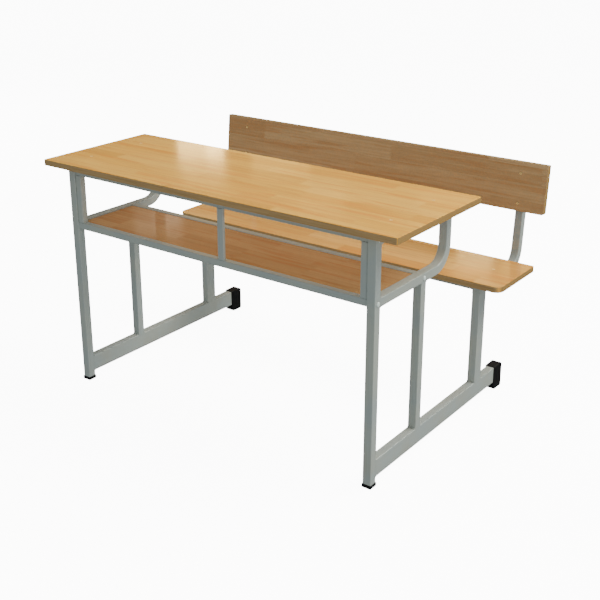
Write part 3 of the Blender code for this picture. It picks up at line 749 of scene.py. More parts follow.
def cut(bm: Mesh, geom: Sequence[Any], axis: int, level: float) -> None:
    """Cuts faces of a shape along a plane square to an axis."""
    normal = Vector()
    normal[axis] = 1
    bmesh.ops.bisect_plane(bm, geom=geom, dist=MERGE_DISTANCE, plane_co=normal * level, plane_no=normal)


def inset(bm: Mesh, face: bmesh.types.BMFace, width: float) -> None:
    """Insets a face by a width."""
    bm.normal_update()
    bmesh.ops.inset_region(bm, faces=[face], thickness=width, use_even_offset=True)


def sink(
    bm: Mesh, faces: Sequence[bmesh.types.BMFace], depth: float, taper: float = MERGE_DISTANCE
) -> None:
    """Sinks faces as one into a shape, or raises them where the depth is negative."""
    bm.normal_update()
    bmesh.ops.inset_region(bm, faces=faces, thickness=taper, depth=-depth, use_even_offset=True)


def turn_on(
    bm: Mesh, ring: Sequence[Any], centre: Vector, steps: Iterable[tuple[float, float]]
) -> None:
    """Carries a ring of edges on through circles about an upright axis, and closes the last one.

    Args:
        bm: The shape.
        ring: The edges to start from.
        centre: The point on the axis that heights are measured from.
        steps: Each circle's radius and height.
    """
    for radius, height in steps:
        verts = verts_of(bmesh.ops.extrude_edge_only(bm, edges=ring)["geom"])
        for vert in verts:
            out = (vert.co - centre).xy.normalized() * radius
            vert.co = centre + Vector((out.x, out.y, height))
        ring = ring_of(bm, verts)
    bmesh.ops.holes_fill(bm, edges=ring, sides=0)


def steel_plate(size: Sequence[float], corner: float, rim: float) -> Mesh:
    """A plate about the origin, flat in the XY plane, with round corners and an eased rim.

    Args:
        size: Its length along each axis.
        corner: The radius of its upright corners.
        rim: The radius of its rim's edges.

    Returns:
        The shape.
    """
    bm = block(size)
    upright = [edge for edge in bm.edges if (edge.verts[0].co.xy - edge.verts[1].co.xy).length < rim]
    round_off(bm, upright, corner, PLATE_CORNER_SEGMENTS)
    round_off(bm, sharp_edges(bm), rim, PLATE_RIM_SEGMENTS)
    return bm


@dataclass(frozen=True)
class Bend:
    """A bend up, by an angle round a radius."""

    angle: float
    radius: float = 0.060


@dataclass(frozen=True)
class Tube:
    """A square tube that starts at the origin along +Y, with its width along X and its height along Z."""

    width: float
    height: float
    corner_radius: float = 0.0025
    corner_segments: int = 5
    bend_steps: int = 40

    def lay(
        self, node: str, enamel: Finish, runs: Sequence[Union[float, Bend]], start: Vector, turn: Matrix
    ) -> None:
        """Makes the tube for a node, from its straight runs and bends, with its start and its turn."""
        place = Matrix.Translation(start) @ turn
        finish_piece(f"painted_{node}", self.skin(runs), enamel, [node], place, TUBE_WALL)

    def skin(self, runs: Sequence[Union[float, Bend]]) -> Mesh:
        """Sweeps the tube's outline along straight runs and bends.

        Args:
            runs: A length for each straight run, and a bend for each bend.

        Returns:
            The outer skin, open at both ends, with its faces outward.
        """
        bm = bmesh.new()
        ring = self.outline(bm)
        place, heading = Vector(), 0.0
        for run in runs:
            forward = Vector((0, math.cos(heading), math.sin(heading)))
            upward = Vector((0, -math.sin(heading), math.cos(heading)))
            if isinstance(run, Bend):
                centre = place + upward * run.radius
                arc = {"angle": run.angle, "steps": self.bend_steps}
                made = bmesh.ops.spin(bm, geom=ring, cent=centre, axis=(1, 0, 0), **arc)
                verts = verts_of(made["geom_last"])
                place = centre + Matrix.Rotation(run.angle, 3, "X") @ (place - centre)
                heading += run.angle
            else:
                verts = verts_of(bmesh.ops.extrude_edge_only(bm, edges=ring)["geom"])
                bmesh.ops.translate(bm, verts=verts, vec=forward * run)
                place = place + forward * run
            ring = ring_of(bm, verts)
        # Caps show which side of the open skin is out, and then go.
        caps = bmesh.ops.holes_fill(bm, edges=border(bm), sides=0)["faces"]
        face_out(bm)
        bmesh.ops.delete(bm, geom=caps, context="FACES_ONLY")
        return bm

    def outline(self, bm: Mesh) -> list[bmesh.types.BMEdge]:
        """Adds the tube's outline in the XZ plane, and returns its edges.

        Args:
            bm: The shape.

        Returns:
            The outline's edges.
        """
        bmesh.ops.create_grid(bm, x_segments=1, y_segments=1, size=1)
        bmesh.ops.scale(bm, vec=(self.width / 2, self.height / 2, 1), verts=bm.verts)
        round_off(bm, bm.verts[:], self.corner_radius, self.corner_segments, "VERTICES")
        bmesh.ops.rotate(bm, verts=bm.verts, matrix=STAND.to_3x3())
        bmesh.ops.delete(bm, geom=bm.faces[:], context="FACES_ONLY")
        return bm.edges[:]


def lay_straight(node: str, enamel: Finish) -> None:
    """Lays a straight tube in the place of its node, along Z or Y as its box is longer.

    Args:
        node: The node.
        enamel: The tube's finish.
    """
    box = Box.of(node)
    upright = box.size.z > box.size.y
    axis = 2 if upright else 1
    start = box.middle
    start[axis] = box.low[axis]
    turn = STAND if upright else Matrix.Identity(4)
    Tube(box.size.x, box.size[3 - axis]).lay(node, enamel, [box.size[axis]], start, turn)


@dataclass(frozen=True)
class WeldBead:
    """A row of weld ripples under the paint, along a straight joint."""

    radius: float = 0.0019
    ripple: float = 0.0021
    fewest_ripples: int = 2
    waist_share: float = 0.8
    sides: int = 10

    def lay(self, bm: Mesh, start: Vector, end: Vector, flat: Vector | None = None) -> None:
        """Adds the bead to a shape.

        Args:
            bm: The shape.
            start: Where the bead starts.
            end: Where it ends.
            flat: How far the bead is squashed along each axis, where it was ground down.
        """
        along = end - start
        count = max(self.fewest_ripples, round(along.length / self.ripple)) * 2
        made = bmesh.ops.create_circle(bm, cap_ends=False, segments=self.sides, radius=self.radius)
        verts = made["verts"]
        every = list(verts)
        ring = ring_of(bm, verts)
        caps = [ring]
        for step in range(count):
            verts = verts_of(bmesh.ops.extrude_edge_only(bm, edges=ring)["geom"])
            scale = self.waist_share if step % 2 == 0 else 1 / self.waist_share
            height = along.length * (step + 1) / count
            for vert in verts:
                vert.co = Vector((vert.co.x * scale, vert.co.y * scale, height))
            every += verts
            ring = ring_of(bm, verts)
        caps.append(ring)
        for edges in caps:
            bmesh.ops.holes_fill(bm, edges=edges, sides=0)
        turn = UP.rotation_difference(along).to_matrix().to_4x4()
        bmesh.ops.transform(bm, matrix=turn, verts=every)
        if flat is not None:
            bmesh.ops.scale(bm, vec=flat, verts=every)
        bmesh.ops.translate(bm, vec=start, verts=every)


@dataclass
class SideFrame:
    """One welded side frame: leg, base rail, posts, side bar and the two bent brackets."""

    side: str
    enamel: Finish
    weld: WeldBead = field(default_factory=WeldBead)
    ground_share: float = 0.16
    weld_inset: float = 0.0016
    plate_corner: float = 0.0025
    plate_rim: float = 0.0004

    def build(self) -> None:
        """Makes the frame's tubes and its welds."""
        for part in ("front_leg", "base_rail", "middle_post", "rear_post", "desk_side_bar"):
            lay_straight(f"{part}_{self.side}", self.enamel)
        self.bracket("desk_bracket", 0.0)
        self.bracket("seat_bracket", BACK_LEAN)
        self.end_plate()
        self.welds()

    def box(self, part: str) -> Box:
        """The box of one of this side's nodes."""
        return Box.of(f"{part}_{self.side}")

    def bracket(self, part: str, lean: float) -> None:
        """Adds a bracket that runs back and turns up, to lean back by an angle.

        Args:
            part: The part's name without its side.
            lean: How far its upright leans.
        """
        box = self.box(part)
        half = box.size.x / 2
        bend = Bend(math.pi / 2 - lean)
        start = Vector((box.middle.x, box.low.y, box.low.z + half))
        rise = box.high.z - start.z - bend.radius * (1 - math.cos(bend.angle))
        upright = (rise - half * math.sin(lean)) / math.cos(lean)
        reach = upright * math.sin(lean) + half * math.cos(lean)
        run = box.high.y - reach - bend.radius * math.sin(bend.angle) - start.y
        tube = Tube(box.size.x, box.size.x)
        tube.lay(f"{part}_{self.side}", self.enamel, [run, bend, upright], start, Matrix.Identity(4))

    def end_plate(self) -> None:
        """The plate that closes the front end of the seat bracket."""
        node = f"seat_bar_end_{self.side}"
        box = Box.of(node)
        plate = steel_plate((box.size.x, box.size.z, box.size.y), self.plate_corner, self.plate_rim)
        finish_piece(f"painted_{node}", plate, self.enamel, [node], Matrix.Translation(box.middle) @ STAND)

    def welds(self) -> None:
        """The beads in the corners between the tubes, and the ground ones on their flush faces."""
        bm = bmesh.new()
        leg, rail, bar = (self.box(part) for part in ("front_leg", "base_rail", "desk_side_bar"))
        shelf, seat = self.box("desk_bracket"), self.box("seat_bracket")
        shelf_top = shelf.low.z + leg.size.x
        for height in (rail.low.z, rail.high.z, shelf.low.z, shelf_top, bar.low.z):
            self.corner(bm, leg.high.y, height)
        self.corner(bm, bar.high.y, bar.low.z)
        for part, top, start in (
            ("middle_post", shelf.low.z, shelf.low.y),
            ("rear_post", seat.low.z, seat.low.y),
        ):
            post = self.box(part)
            for y in (post.low.y, post.high.y):
                self.corner(bm, y, rail.high.z)
                if y > start:
                    self.corner(bm, y, top)
            self.flush(bm, (post.low.y, rail.high.z), (post.high.y, rail.high.z))
            self.flush(bm, (post.low.y, top), (post.high.y, top))
        for y, low, high in (
            (leg.high.y, rail.low.z, rail.high.z),
            (leg.high.y, shelf.low.z, shelf_top),
            (leg.high.y, bar.low.z, bar.high.z),
            (bar.high.y, bar.low.z, bar.high.z),
        ):
            self.flush(bm, (y, low), (y, high))
        finish_piece(f"weld_beads_{self.side}", bm, self.enamel)

    def corner(self, bm: Mesh, y: float, z: float) -> None:
        """Lays a bead across the frame in a corner between two tubes."""
        box = self.box("front_leg")
        start = Vector((box.low.x + self.weld_inset, y, z))
        self.weld.lay(bm, start, Vector((box.high.x - self.weld_inset, y, z)))

    def flush(self, bm: Mesh, start: Sequence[float], end: Sequence[float]) -> None:
        """Lays ground beads over a joint, on both flat sides of the frame."""
        box = self.box("front_leg")
        flat = Vector((self.ground_share, 1, 1))
        for x in (box.low.x, box.high.x):
            self.weld.lay(bm, Vector((x, *start)), Vector((x, *end)), flat)


@dataclass
class CrossFrame:
    """The thinner tubes between the side frames: rails, front posts and the shelf's tabs."""

    enamel: Finish
    tab_width: float = 0.025
    tab_thickness: float = 0.0025
    tab_corner: float = 0.004
    tab_rim: float = 0.0004
    weld: WeldBead = field(default_factory=lambda: WeldBead(radius=0.0015, ripple=0.0018))

    def build(self) -> None:
        """Makes the rails, the posts and the tabs."""
        for node in ("front_top_rail", "front_seat_rail", "rear_seat_rail"):
            self.rail(node, Box.of(node).middle.y)
        front, rear = Box.of("front_shelf_rail"), Box.of("rear_shelf_rail")
        self.rail("front_shelf_rail", front.low.y + front.size.z / 2)
        self.rail("rear_shelf_rail", rear.high.y - rear.size.z / 2)
        for column in COLUMNS:
            lay_straight(f"front_post_{column}", self.enamel)
        self.tabs("front", front.low.y + front.size.z, front.high.y)
        self.tabs("rear", rear.low.y, rear.high.y - rear.size.z)
        self.welds()

    def rail(self, node: str, y: float) -> None:
        """Adds a rail along X, centred on a place along Y."""
        box = Box.of(node)
        turn = Matrix.Rotation(-math.pi / 2, 4, "Z")
        tube = Tube(box.size.z, box.size.z)
        tube.lay(node, self.enamel, [box.size.x], Vector((box.low.x, y, box.middle.z)), turn)

    def tabs(self, row: str, start: float, end: float) -> None:
        """Adds the three flat tabs that hold the shelf board on one rail.

        Args:
            row: Front or rear.
            start: Where the tabs start along Y.
            end: Where they end.
        """
        low = Box.of(f"{row}_shelf_rail").low.z
        size = (self.tab_width, end - start, self.tab_thickness)
        for column in COLUMNS:
            x = Box.of(f"shelf_screw_{column}_{row}").middle.x
            plate = steel_plate(size, self.tab_corner, self.tab_rim)
            place = Matrix.Translation((x, (start + end) / 2, low + self.tab_thickness / 2))
            finish_piece(f"shelf_tab_{column}_{row}", plate, self.enamel, place=place)

    def welds(self) -> None:
        """The beads beside the front posts, where they meet the two front rails."""
        bm = bmesh.new()
        reach = Box.of("front_top_rail").high.x - TUBE_WALL
        for column in COLUMNS:
            box = Box.of(f"front_post_{column}")
            for x in (x for x in (box.low.x, box.high.x) if abs(x) <= reach):
                for z in (box.low.z, box.high.z):
                    start = Vector((x, box.low.y + TUBE_WALL, z))
                    self.weld.lay(bm, start, Vector((x, box.high.y - TUBE_WALL, z)))
        finish_piece("weld_beads_front_frame", bm, self.enamel)


@dataclass
class Board:
    """A laminated board with rounded edges, and countersinks for its screws."""

    node: str
    timber: Timber
    seed: float
    front_radius: float
    rear_radius: float
    screws: Sequence[str] = ()
    slot: Slot = Slot.LACQUERED_WOOD
    lean: float = 0.0
    block_length: float = 0.36
    edge_round: float = 0.0015
    edge_segments: int = 4
    corner_segments: int = 16
    mouth: float = 0.0091
    bore: float = 0.0046
    sink: float = 0.0033
    bore_depth: float = 0.012
    seat_cell: float = 0.016
    cell_cuts: int = 7

    def build(self) -> None:
        """Makes the board and sets it in its place."""
        box = Box.of(self.node)
        turn = Matrix.Rotation(self.lean, 4, "X")
        level, steep = math.cos(self.lean), math.sin(self.lean)
        spread = level * level - steep * steep
        depth = (box.size.y * level - box.size.z * steep) / spread
        thickness = (box.size.z * level - box.size.y * steep) / spread
        bm = block((box.size.x, depth, thickness))
        self.round_corners(bm, thickness)
        round_off(bm, sharp_edges(bm), self.edge_round, self.edge_segments)
        screws = [turn.inverted() @ (Box.of(name).middle - box.middle) for name in self.screws]
        for screw in screws:
            for axis in (0, 1):
                for way in (-1, 1):
                    cut(bm, everything(bm), axis, screw[axis] + way * self.seat_cell / 2)
        for screw in screws:
            self.countersink(bm, Vector((screw.x, screw.y, thickness / 2)))
        wood = LaminatedWood(self.timber, self.slot, box.middle, self.lean, self.seed, self.block_length)
        place = Matrix.Translation(box.middle) @ turn
        finish_piece(f"finished_{self.node}", bm, wood.finish(f"{self.node}_wood"), [self.node], place)

    def round_corners(self, bm: Mesh, thickness: float) -> None:
        """Rounds the board's upright corner edges, in front and behind.

        Args:
            bm: The shape.
            thickness: The board's thickness.
        """
        for side, radius in ((-1, self.front_radius), (1, self.rear_radius)):
            upright = [
                edge
                for edge in bm.edges
                if abs(edge.verts[0].co.z - edge.verts[1].co.z) > thickness / 2
                and edge.verts[0].co.y * side > 0
            ]
            round_off(bm, upright, radius, self.corner_segments)

    def countersink(self, bm: Mesh, top: Vector) -> None:
        """Sinks a conical seat, and a bore below it, into the square cell round a screw.

        Args:
            bm: The shape.
            top: The middle of the screw's head, on the board's upper face.
        """
        cell = min(bm.faces, key=lambda face: (face.calc_center_median() - top).length)
        square = cell.edges[:]
        bmesh.ops.delete(bm, geom=[cell], context="FACES_ONLY")
        bmesh.ops.bisect_edges(bm, edges=square, cuts=self.cell_cuts)
        bore = self.bore / 2
        turn_on(bm, border(bm), top, ((self.mouth / 2, 0), (bore, -self.sink), (bore, -self.bore_depth)))


@dataclass
class Boards:
    """The four boards, each with a seed that sets its strips."""

    desk_seed: float = 3.5
    seat_seed: float = 11.2
    shelf_seed: float = 4.1
    back_seed: float = 8.8
    desk_corner: float = 0.003
    seat_corners: tuple[float, float] = (0.025, 0.005)
    back_corners: tuple[float, float] = (0.008, 0.003)
    shelf_corner: float = 0.0015
    shelf_edge_round: float = 0.0006
    shelf_block: float = 0.30
    back_block: float = 0.62
    desk_timber: Timber = Timber(
        paint(247, 188, 80), paint(239, 175, 66), paint(215, 148, 51), paint(227, 144, 43)
    )
    seat_timber: Timber = Timber(
        paint(230, 172, 86), paint(220, 160, 75), paint(196, 135, 56), paint(210, 132, 48)
    )
    back_timber: Timber = Timber(
        paint(200, 164, 116), paint(192, 154, 107), paint(177, 138, 92), paint(180, 131, 82)
    )
    shelf_timber: Timber = Timber(
        paint(195, 151, 97), paint(186, 141, 87), paint(174, 127, 77), paint(181, 122, 69)
    )

    def build(self) -> None:
        """Makes the desk top, the seat, the book shelf and the backrest."""
        desk_screws = [f"desk_screw_{side}_{row}" for side in SIDES for row in ROWS]
        seat_screws = [f"seat_screw_{side}" for side in SIDES]
        back_screws = [f"back_screw_{side}_{row}" for side in SIDES for row in ("low", "high")]
        desk_corners = (self.desk_corner, self.desk_corner)
        shelf_corners = (self.shelf_corner, self.shelf_corner)
        boards = (
            Board("desk_top", self.desk_timber, self.desk_seed, *desk_corners, desk_screws),
            Board("seat_board", self.seat_timber, self.seat_seed, *self.seat_corners, seat_screws),
            Board(
                "shelf_board",
                self.shelf_timber,
                self.shelf_seed,
                *shelf_corners,
                slot=Slot.SHELF_WOOD,
                block_length=self.shelf_block,
                edge_round=self.shelf_edge_round,
            ),
            Board(
                "backrest_board",
                self.back_timber,
                self.back_seed,
                *self.back_corners,
                back_screws,
                lean=math.pi / 2 - BACK_LEAN,
                block_length=self.back_block,
            ),
        )
        for board in boards:
            board.build()


class Head(Enum):
    """The form of a fastener's head."""

    COUNTERSUNK = "countersunk"
    DOMED = "domed"


@dataclass(frozen=True)
class Fastener:
    """A screw or bolt with a cross recess, along Z, with its head up."""

    form: Head
    head: float
    height: float
    shank: float
    length: float
    rim: float = 0.0008
    ease_share: float = 0.25
    tip_share: float = 0.25
    grid_cells: int = 3
    grid_split: float = 0.5
    border_cuts: int = 2
    crown_start: float = math.radians(38)
    crown_steps: int = 6
    arm_share: float = 0.78
    slot_share: float = 0.2
    corner_share: float = 0.72
    recess_depth: float = 0.0016
    recess_taper: float = 0.00025

    def crown(self, step: int) -> tuple[float, float]:
        """The radius and the height of a step of a domed head, from the flat on its top to its rim."""
        turn = self.crown_start + (math.pi / 2 - self.crown_start) * step / self.crown_steps
        return self.head / 2 * math.sin(turn), self.rim + (self.height - self.rim) * math.cos(turn)

    def profile(self) -> list[tuple[float, float]]:
        """The outline from the flat round the recess down, as radii and heights.

        Returns:
            Each circle's radius and height.
        """
        radius, shank = self.head / 2, self.shank / 2
        if self.form is Head.COUNTERSUNK:
            ease = self.rim * self.ease_share
            cone = [(radius - ease, 0.0), (radius, -ease), (shank, -self.height)]
            tip = (shank * self.tip_share, -self.length)
            return [*cone, (shank, -self.length + self.height), tip]
        crown = [self.crown(step) for step in range(self.crown_steps + 1)]
        return [*crown, (radius, 0.0), (shank, 0.0), (shank, -self.length)]

    def shape(self) -> Mesh:
        """Builds the fastener.

        Returns:
            The closed shape. The height is zero at the top of a countersunk head and under a domed one.
        """
        bm = bmesh.new()
        profile = self.profile()
        radius, height = profile[0]
        arm, slot = radius * self.arm_share, radius * self.slot_share
        bmesh.ops.create_grid(bm, x_segments=self.grid_cells, y_segments=self.grid_cells, size=1)
        for vert in bm.verts:
            corner = min(abs(vert.co.x), abs(vert.co.y)) > self.grid_split
            outer = arm * self.corner_share if corner else arm
            for axis in (0, 1):
                reach = outer if abs(vert.co[axis]) > self.grid_split else slot
                vert.co[axis] = math.copysign(reach, vert.co[axis])
            vert.co.z = height
        cross = [f for f in bm.faces if min(abs(c) for c in f.calc_center_median().xy) < slot / 2]
        bmesh.ops.bisect_edges(bm, edges=border(bm), cuts=self.border_cuts)
        turn_on(bm, border(bm), Vector(), profile)
        face_out(bm)
        sink(bm, cross, self.recess_depth, self.recess_taper)
        return bm


@dataclass
class Fasteners:
    """All the screws and bolts, each in the place of its node."""

    # The warm tint and near-white brightness of these screw heads are partly a yellow zinc plate and partly
    # painted highlight and painted reflection of the wood round them.
    yellow_zinc: ZincSteel = ZincSteel(
        name="yellow_zinc",
        bright=paint(255, 222, 146),
        clouded=paint(250, 211, 130),
        metal_share=0.05,
        dullness=0.3,
    )
    white_zinc: ZincSteel = ZincSteel(
        name="white_zinc",
        bright=paint(240, 250, 243),
        clouded=paint(214, 226, 217),
        metal_share=0.1,
        dullness=0.14,
    )
    board_screw: Fastener = Fastener(
        form=Head.COUNTERSUNK, head=0.0085, height=0.003, shank=0.004, length=0.030
    )
    tab_screw: Fastener = Fastener(
        form=Head.DOMED, head=0.0070, height=0.0022, shank=0.0035, length=0.0125, recess_depth=0.0011
    )
    bolt: Fastener = Fastener(form=Head.DOMED, head=0.012, height=0.0035, shank=0.006, length=0.0332)
    spin_limit: int = 90

    def build(self) -> None:
        """Makes every fastener that the frame has."""
        # The screws' warm zinc is partly painted highlight and painted reflection.
        yellow_and_painted_reflection, white = self.yellow_zinc.finish(), self.white_zinc.finish()
        for side in SIDES:
            self.board_screws(side, yellow_and_painted_reflection)
            self.bolts(side, white)
        self.tab_screws(yellow_and_painted_reflection)

    def board_screws(self, side: str, zinc: Finish) -> None:
        """Adds the screws of one side that hold the desk top, the seat and the backrest.

        Args:
            side: Left or right.
            zinc: Their finish.
        """
        for name in (f"desk_screw_{side}_front", f"desk_screw_{side}_rear", f"seat_screw_{side}"):
            box = Box.of(name)
            self.add(name, self.board_screw, (*box.middle.xy, box.high.z), UP, zinc)
        out = Vector((0, -math.cos(BACK_LEAN), math.sin(BACK_LEAN)))
        for name in (f"back_screw_{side}_low", f"back_screw_{side}_high"):
            box = Box.of(name)
            front = box.low.y + self.board_screw.head / 2 * math.sin(BACK_LEAN)
            self.add(name, self.board_screw, (box.middle.x, front, box.middle.z), out, zinc)

    def bolts(self, side: str, zinc: Finish) -> None:
        """Adds the five bolts through one side frame.

        Args:
            side: Left or right.
            zinc: Their finish.
        """
        way = -1 if side == "left" else 1
        for rail in ("front_top", "front_shelf", "rear_shelf", "front_seat", "rear_seat"):
            name = f"{rail}_bolt_{side}"
            box = Box.of(name)
            face = (box.low.x if way < 0 else box.high.x) - way * self.bolt.height
            self.add(name, self.bolt, (face, box.middle.y, box.middle.z), Vector((way, 0, 0)), zinc)

    def tab_screws(self, zinc: Finish) -> None:
        """Adds the screws through the tabs, up into the shelf."""
        for name in (f"shelf_screw_{column}_{row}" for row in ROWS for column in COLUMNS):
            box = Box.of(name)
            seat = box.low.z + self.tab_screw.height
            self.add(name, self.tab_screw, (*box.middle.xy, seat), -UP, zinc)

    def add(
        self, node: str, fastener: Fastener, place: Sequence[float], out: Vector, zinc: Finish
    ) -> None:
        """Adds one fastener, turned a little on its axis, as drivers leave them.

        Args:
            node: The node that it stands for.
            fastener: Which fastener it is.
            place: Where its height is zero.
            out: Which way its head faces.
            zinc: Its finish.
        """
        spin = Matrix.Rotation(math.radians(sum(map(ord, node)) % self.spin_limit), 4, "Z")
        turn = UP.rotation_difference(out).to_matrix().to_4x4()
        matrix = Matrix.Translation(place) @ turn @ spin
        finish_piece(f"bright_{node}", fastener.shape(), zinc, [node], matrix)


@dataclass
class PlasticFittings:
    """The feet under the front legs, the plugs in the tube ends and the shoes on the base rails."""

    plastic: Finish
    foot_thickness: float = 0.006
    foot_skirt: float = 0.004
    plug_thickness: float = 0.003
    edge_round: float = 0.0011
    edge_segments: int = 4
    tube: float = 0.025
    spigot_wall: float = 0.0018
    clearance: float = 0.0003
    shoe_toe: float = 0.014
    shoe_heel: float = 0.005
    shoe_crown: float = 0.009
    shoe_floor: float = 0.005
    shoe_edge_round: float = 0.0021
    shoe_segments: int = 12
    pocket_rib: float = 0.0025

    def build(self) -> None:
        """Makes all the plastic pieces."""
        for side in SIDES:
            self.foot(side)
            self.back_plug(side)
            self.shoe(side)

    def cap(self, width: float, thickness: float, spigot: float, skirt: float = 0.0) -> Mesh:
        """A cap below the XY plane with its hollow spigot above it.

        Args:
            width: The cap's width.
            thickness: How thick it is.
            spigot: How far the spigot goes into the tube.
            skirt: How far the cap's rim stands up round the outside of the tube.

        Returns:
            The shape.
        """
        bm = block((width, width, thickness + skirt))
        round_off(bm, bm.edges[:], self.edge_round, self.edge_segments)
        bmesh.ops.translate(bm, vec=UP * ((skirt - thickness) / 2), verts=bm.verts)
        top = max(bm.faces, key=lambda face: (face.normal.z, face.calc_area()))
        reach = width / 2 - self.edge_round
        if skirt:
            mouth = self.tube / 2 + self.clearance
            inset(bm, top, reach - mouth)
            sink(bm, [top], skirt)
            reach = mouth
        inset(bm, top, reach - (self.tube / 2 - TUBE_WALL - self.clearance))
        sink(bm, [top], -spigot)
        inset(bm, top, self.spigot_wall)
        sink(bm, [top], spigot)
        return bm

    def foot(self, side: str) -> None:
        """The thin foot under a front leg, with a low skirt round the tube.

        Args:
            side: Left or right.
        """
        node = f"front_foot_{side}"
        box = Box.of(node)
        spigot = box.size.z - self.foot_thickness
        shape = self.cap(box.size.x, self.foot_thickness, spigot, self.foot_skirt)
        place = Matrix.Translation((*box.middle.xy, box.low.z + self.foot_thickness))
        self.add(node, shape, place)

    def back_plug(self, side: str) -> None:
        """The plug in the top of a backrest post.

        Args:
            side: Left or right.
        """
        node = f"back_post_plug_{side}"
        box = Box.of(node)
        rise, run = math.cos(BACK_LEAN), math.sin(BACK_LEAN)
        width = box.size.x
        height = (box.size.z - width * run) / rise
        shape = self.cap(width, self.plug_thickness, height - self.plug_thickness)
        high = Vector((box.middle.x, box.high.y - width / 2 * rise, box.high.z - width / 2 * run))
        place = Matrix.Translation(high - Vector((0, run, rise)) * self.plug_thickness)
        self.add(node, shape, place @ Matrix.Rotation(math.pi - BACK_LEAN, 4, "X"))

    def shoe(self, side: str) -> None:
        """The moulded shoe over the rear end of a base rail.

        Args:
            side: Left or right.
        """
        node, rail = f"rear_shoe_{side}", Box.of(f"base_rail_{side}")
        box = Box.of(node)
        bm = block(box.size)
        bmesh.ops.translate(bm, vec=box.size / 2, verts=bm.verts)
        for back, up, radius in ((-1, -1, self.shoe_toe), (1, -1, self.shoe_heel), (1, 1, self.shoe_crown)):
            edge = max(bm.edges, key=lambda e: sum(v.co.y * back + v.co.z * up for v in e.verts))
            round_off(bm, [edge], radius, self.shoe_segments)
        round_off(bm, sharp_edges(bm), self.shoe_edge_round, self.edge_segments)
        self.socket(bm, box, rail)
        self.pockets(bm, box, rail)
        self.add(node, bm, Matrix.Translation(box.low))

    def socket(self, bm: Mesh, box: Box, rail: Box) -> None:
        """Sinks the hole for the rail into the shoe's front face.

        Args:
            bm: The shape.
            box: The shoe's box.
            rail: The rail's box.
        """
        rim = (box.size.x - rail.size.x) / 2 - self.clearance - self.shoe_edge_round
        level = rail.low.z - self.clearance - rim
        cut(bm, everything(bm), 2, level)
        front = [face for face in bm.faces if face.normal.y < -FLAT_SHARE]
        above = [face for face in front if face.calc_center_median().z > level]
        mouth = max(above, key=lambda face: face.calc_area())
        inset(bm, mouth, rim)
        sink(bm, [mouth], rail.high.y - box.low.y + self.clearance)

    def pockets(self, bm: Mesh, box: Box, rail: Box) -> None:
        """Sinks two hollows into the flat of the sole, with a rib between them.

        Args:
            bm: The shape.
            box: The shoe's box.
            rail: The rail's box.
        """
        start, end = self.shoe_toe, box.size.y - self.shoe_heel - self.shoe_edge_round
        length = (end - start - self.pocket_rib) / 2
        cuts = [(0, box.size.x / 2 + way * rail.size.x / 2) for way in (-1, 1)]
        for first in (start + self.clearance, start + length + self.pocket_rib):
            cuts += [(1, first), (1, first + length - self.clearance)]
        for axis, level in cuts:
            around = {item for face in self.sole(bm) for item in (*face.verts, *face.edges, face)}
            cut(bm, list(around), axis, level)
        for cell in sorted(self.sole(bm), key=lambda face: -face.calc_area())[:2]:
            sink(bm, [cell], rail.low.z - self.shoe_floor)

    def sole(self, bm: Mesh) -> list[bmesh.types.BMFace]:
        """The faces that a shoe stands on."""
        down = [face for face in bm.faces if face.normal.z < -FLAT_SHARE]
        return [face for face in down if abs(face.calc_center_median().z) < self.clearance]

    def add(self, node: str, shape: Mesh, place: Matrix) -> None:
        """Adds one plastic piece in the place of its node."""
        finish_piece(f"moulded_{node}", shape, self.plastic, [node], place)


@dataclass(frozen=True)
class Viewpoint:
    """The camera that took the photograph, solved from the desk's own straight edges."""

    place: Vector = field(default_factory=lambda: Vector((1.7273, -2.3254, 1.4395)))
    turn: float = math.radians(36.548)
    tilt: float = math.radians(-19.432)
    focal_pixels: float = 1027.2
    centre_pixel: tuple[float, float] = (300.0, 250.0)
    image_pixels: float = 600.0
    sensor: float = 36.0

    @property
    def aim(self) -> Euler:
        """The camera's turn."""
        return Euler((math.pi / 2 + self.tilt, 0, self.turn))

    def build(self) -> None:
        """Adds the camera and makes it the scene's own."""
        data = bpy.data.cameras.new("camera")
        data.sensor_width = self.sensor
        data.lens = self.focal_pixels / self.image_pixels * self.sensor
        data.shift_x = (self.image_pixels / 2 - self.centre_pixel[0]) / self.image_pixels
        data.shift_y = (self.centre_pixel[1] - self.image_pixels / 2) / self.image_pixels
        camera = linked("camera", data)
        camera.location = self.place
        camera.rotation_euler = self.aim
        bpy.context.scene.camera = camera
        LOG.info("set the camera")

    def ray(self, pixel: tuple[float, float]) -> Vector:
        """The direction in which a pixel of the photograph looks."""
        across, down = pixel[0] - self.centre_pixel[0], pixel[1] - self.centre_pixel[1]
        return (self.aim.to_matrix() @ Vector((across, -down, -self.focal_pixels))).normalized()


@dataclass(frozen=True)
class Softbox:
    """A large soft light that the camera doesn't see."""

    name: str
    place: Vector | Triple
    size: tuple[float, float]
    power: float
    colour: Triple
    target: Vector | Triple = (0.0, 0.0, 0.4)
    lights_surfaces: bool = True
    mirrored: bool = False

    def build(self) -> None:
        """Hangs the light."""
        light = bpy.data.lights.new(self.name, "AREA")
        light.shape = "RECTANGLE"
        light.size, light.size_y = self.size
        light.energy = self.power
        light.color = self.colour
        lamp = linked(self.name, light)
        lamp.location = self.place
        aim = Vector(self.target) - Vector(self.place)
        lamp.rotation_euler = aim.to_track_quat("-Z", "Y").to_euler()
        lamp.visible_camera = False
        lamp.visible_diffuse = self.lights_surfaces
        lamp.visible_glossy = self.mirrored
        LOG.info("hung %s", self.name)


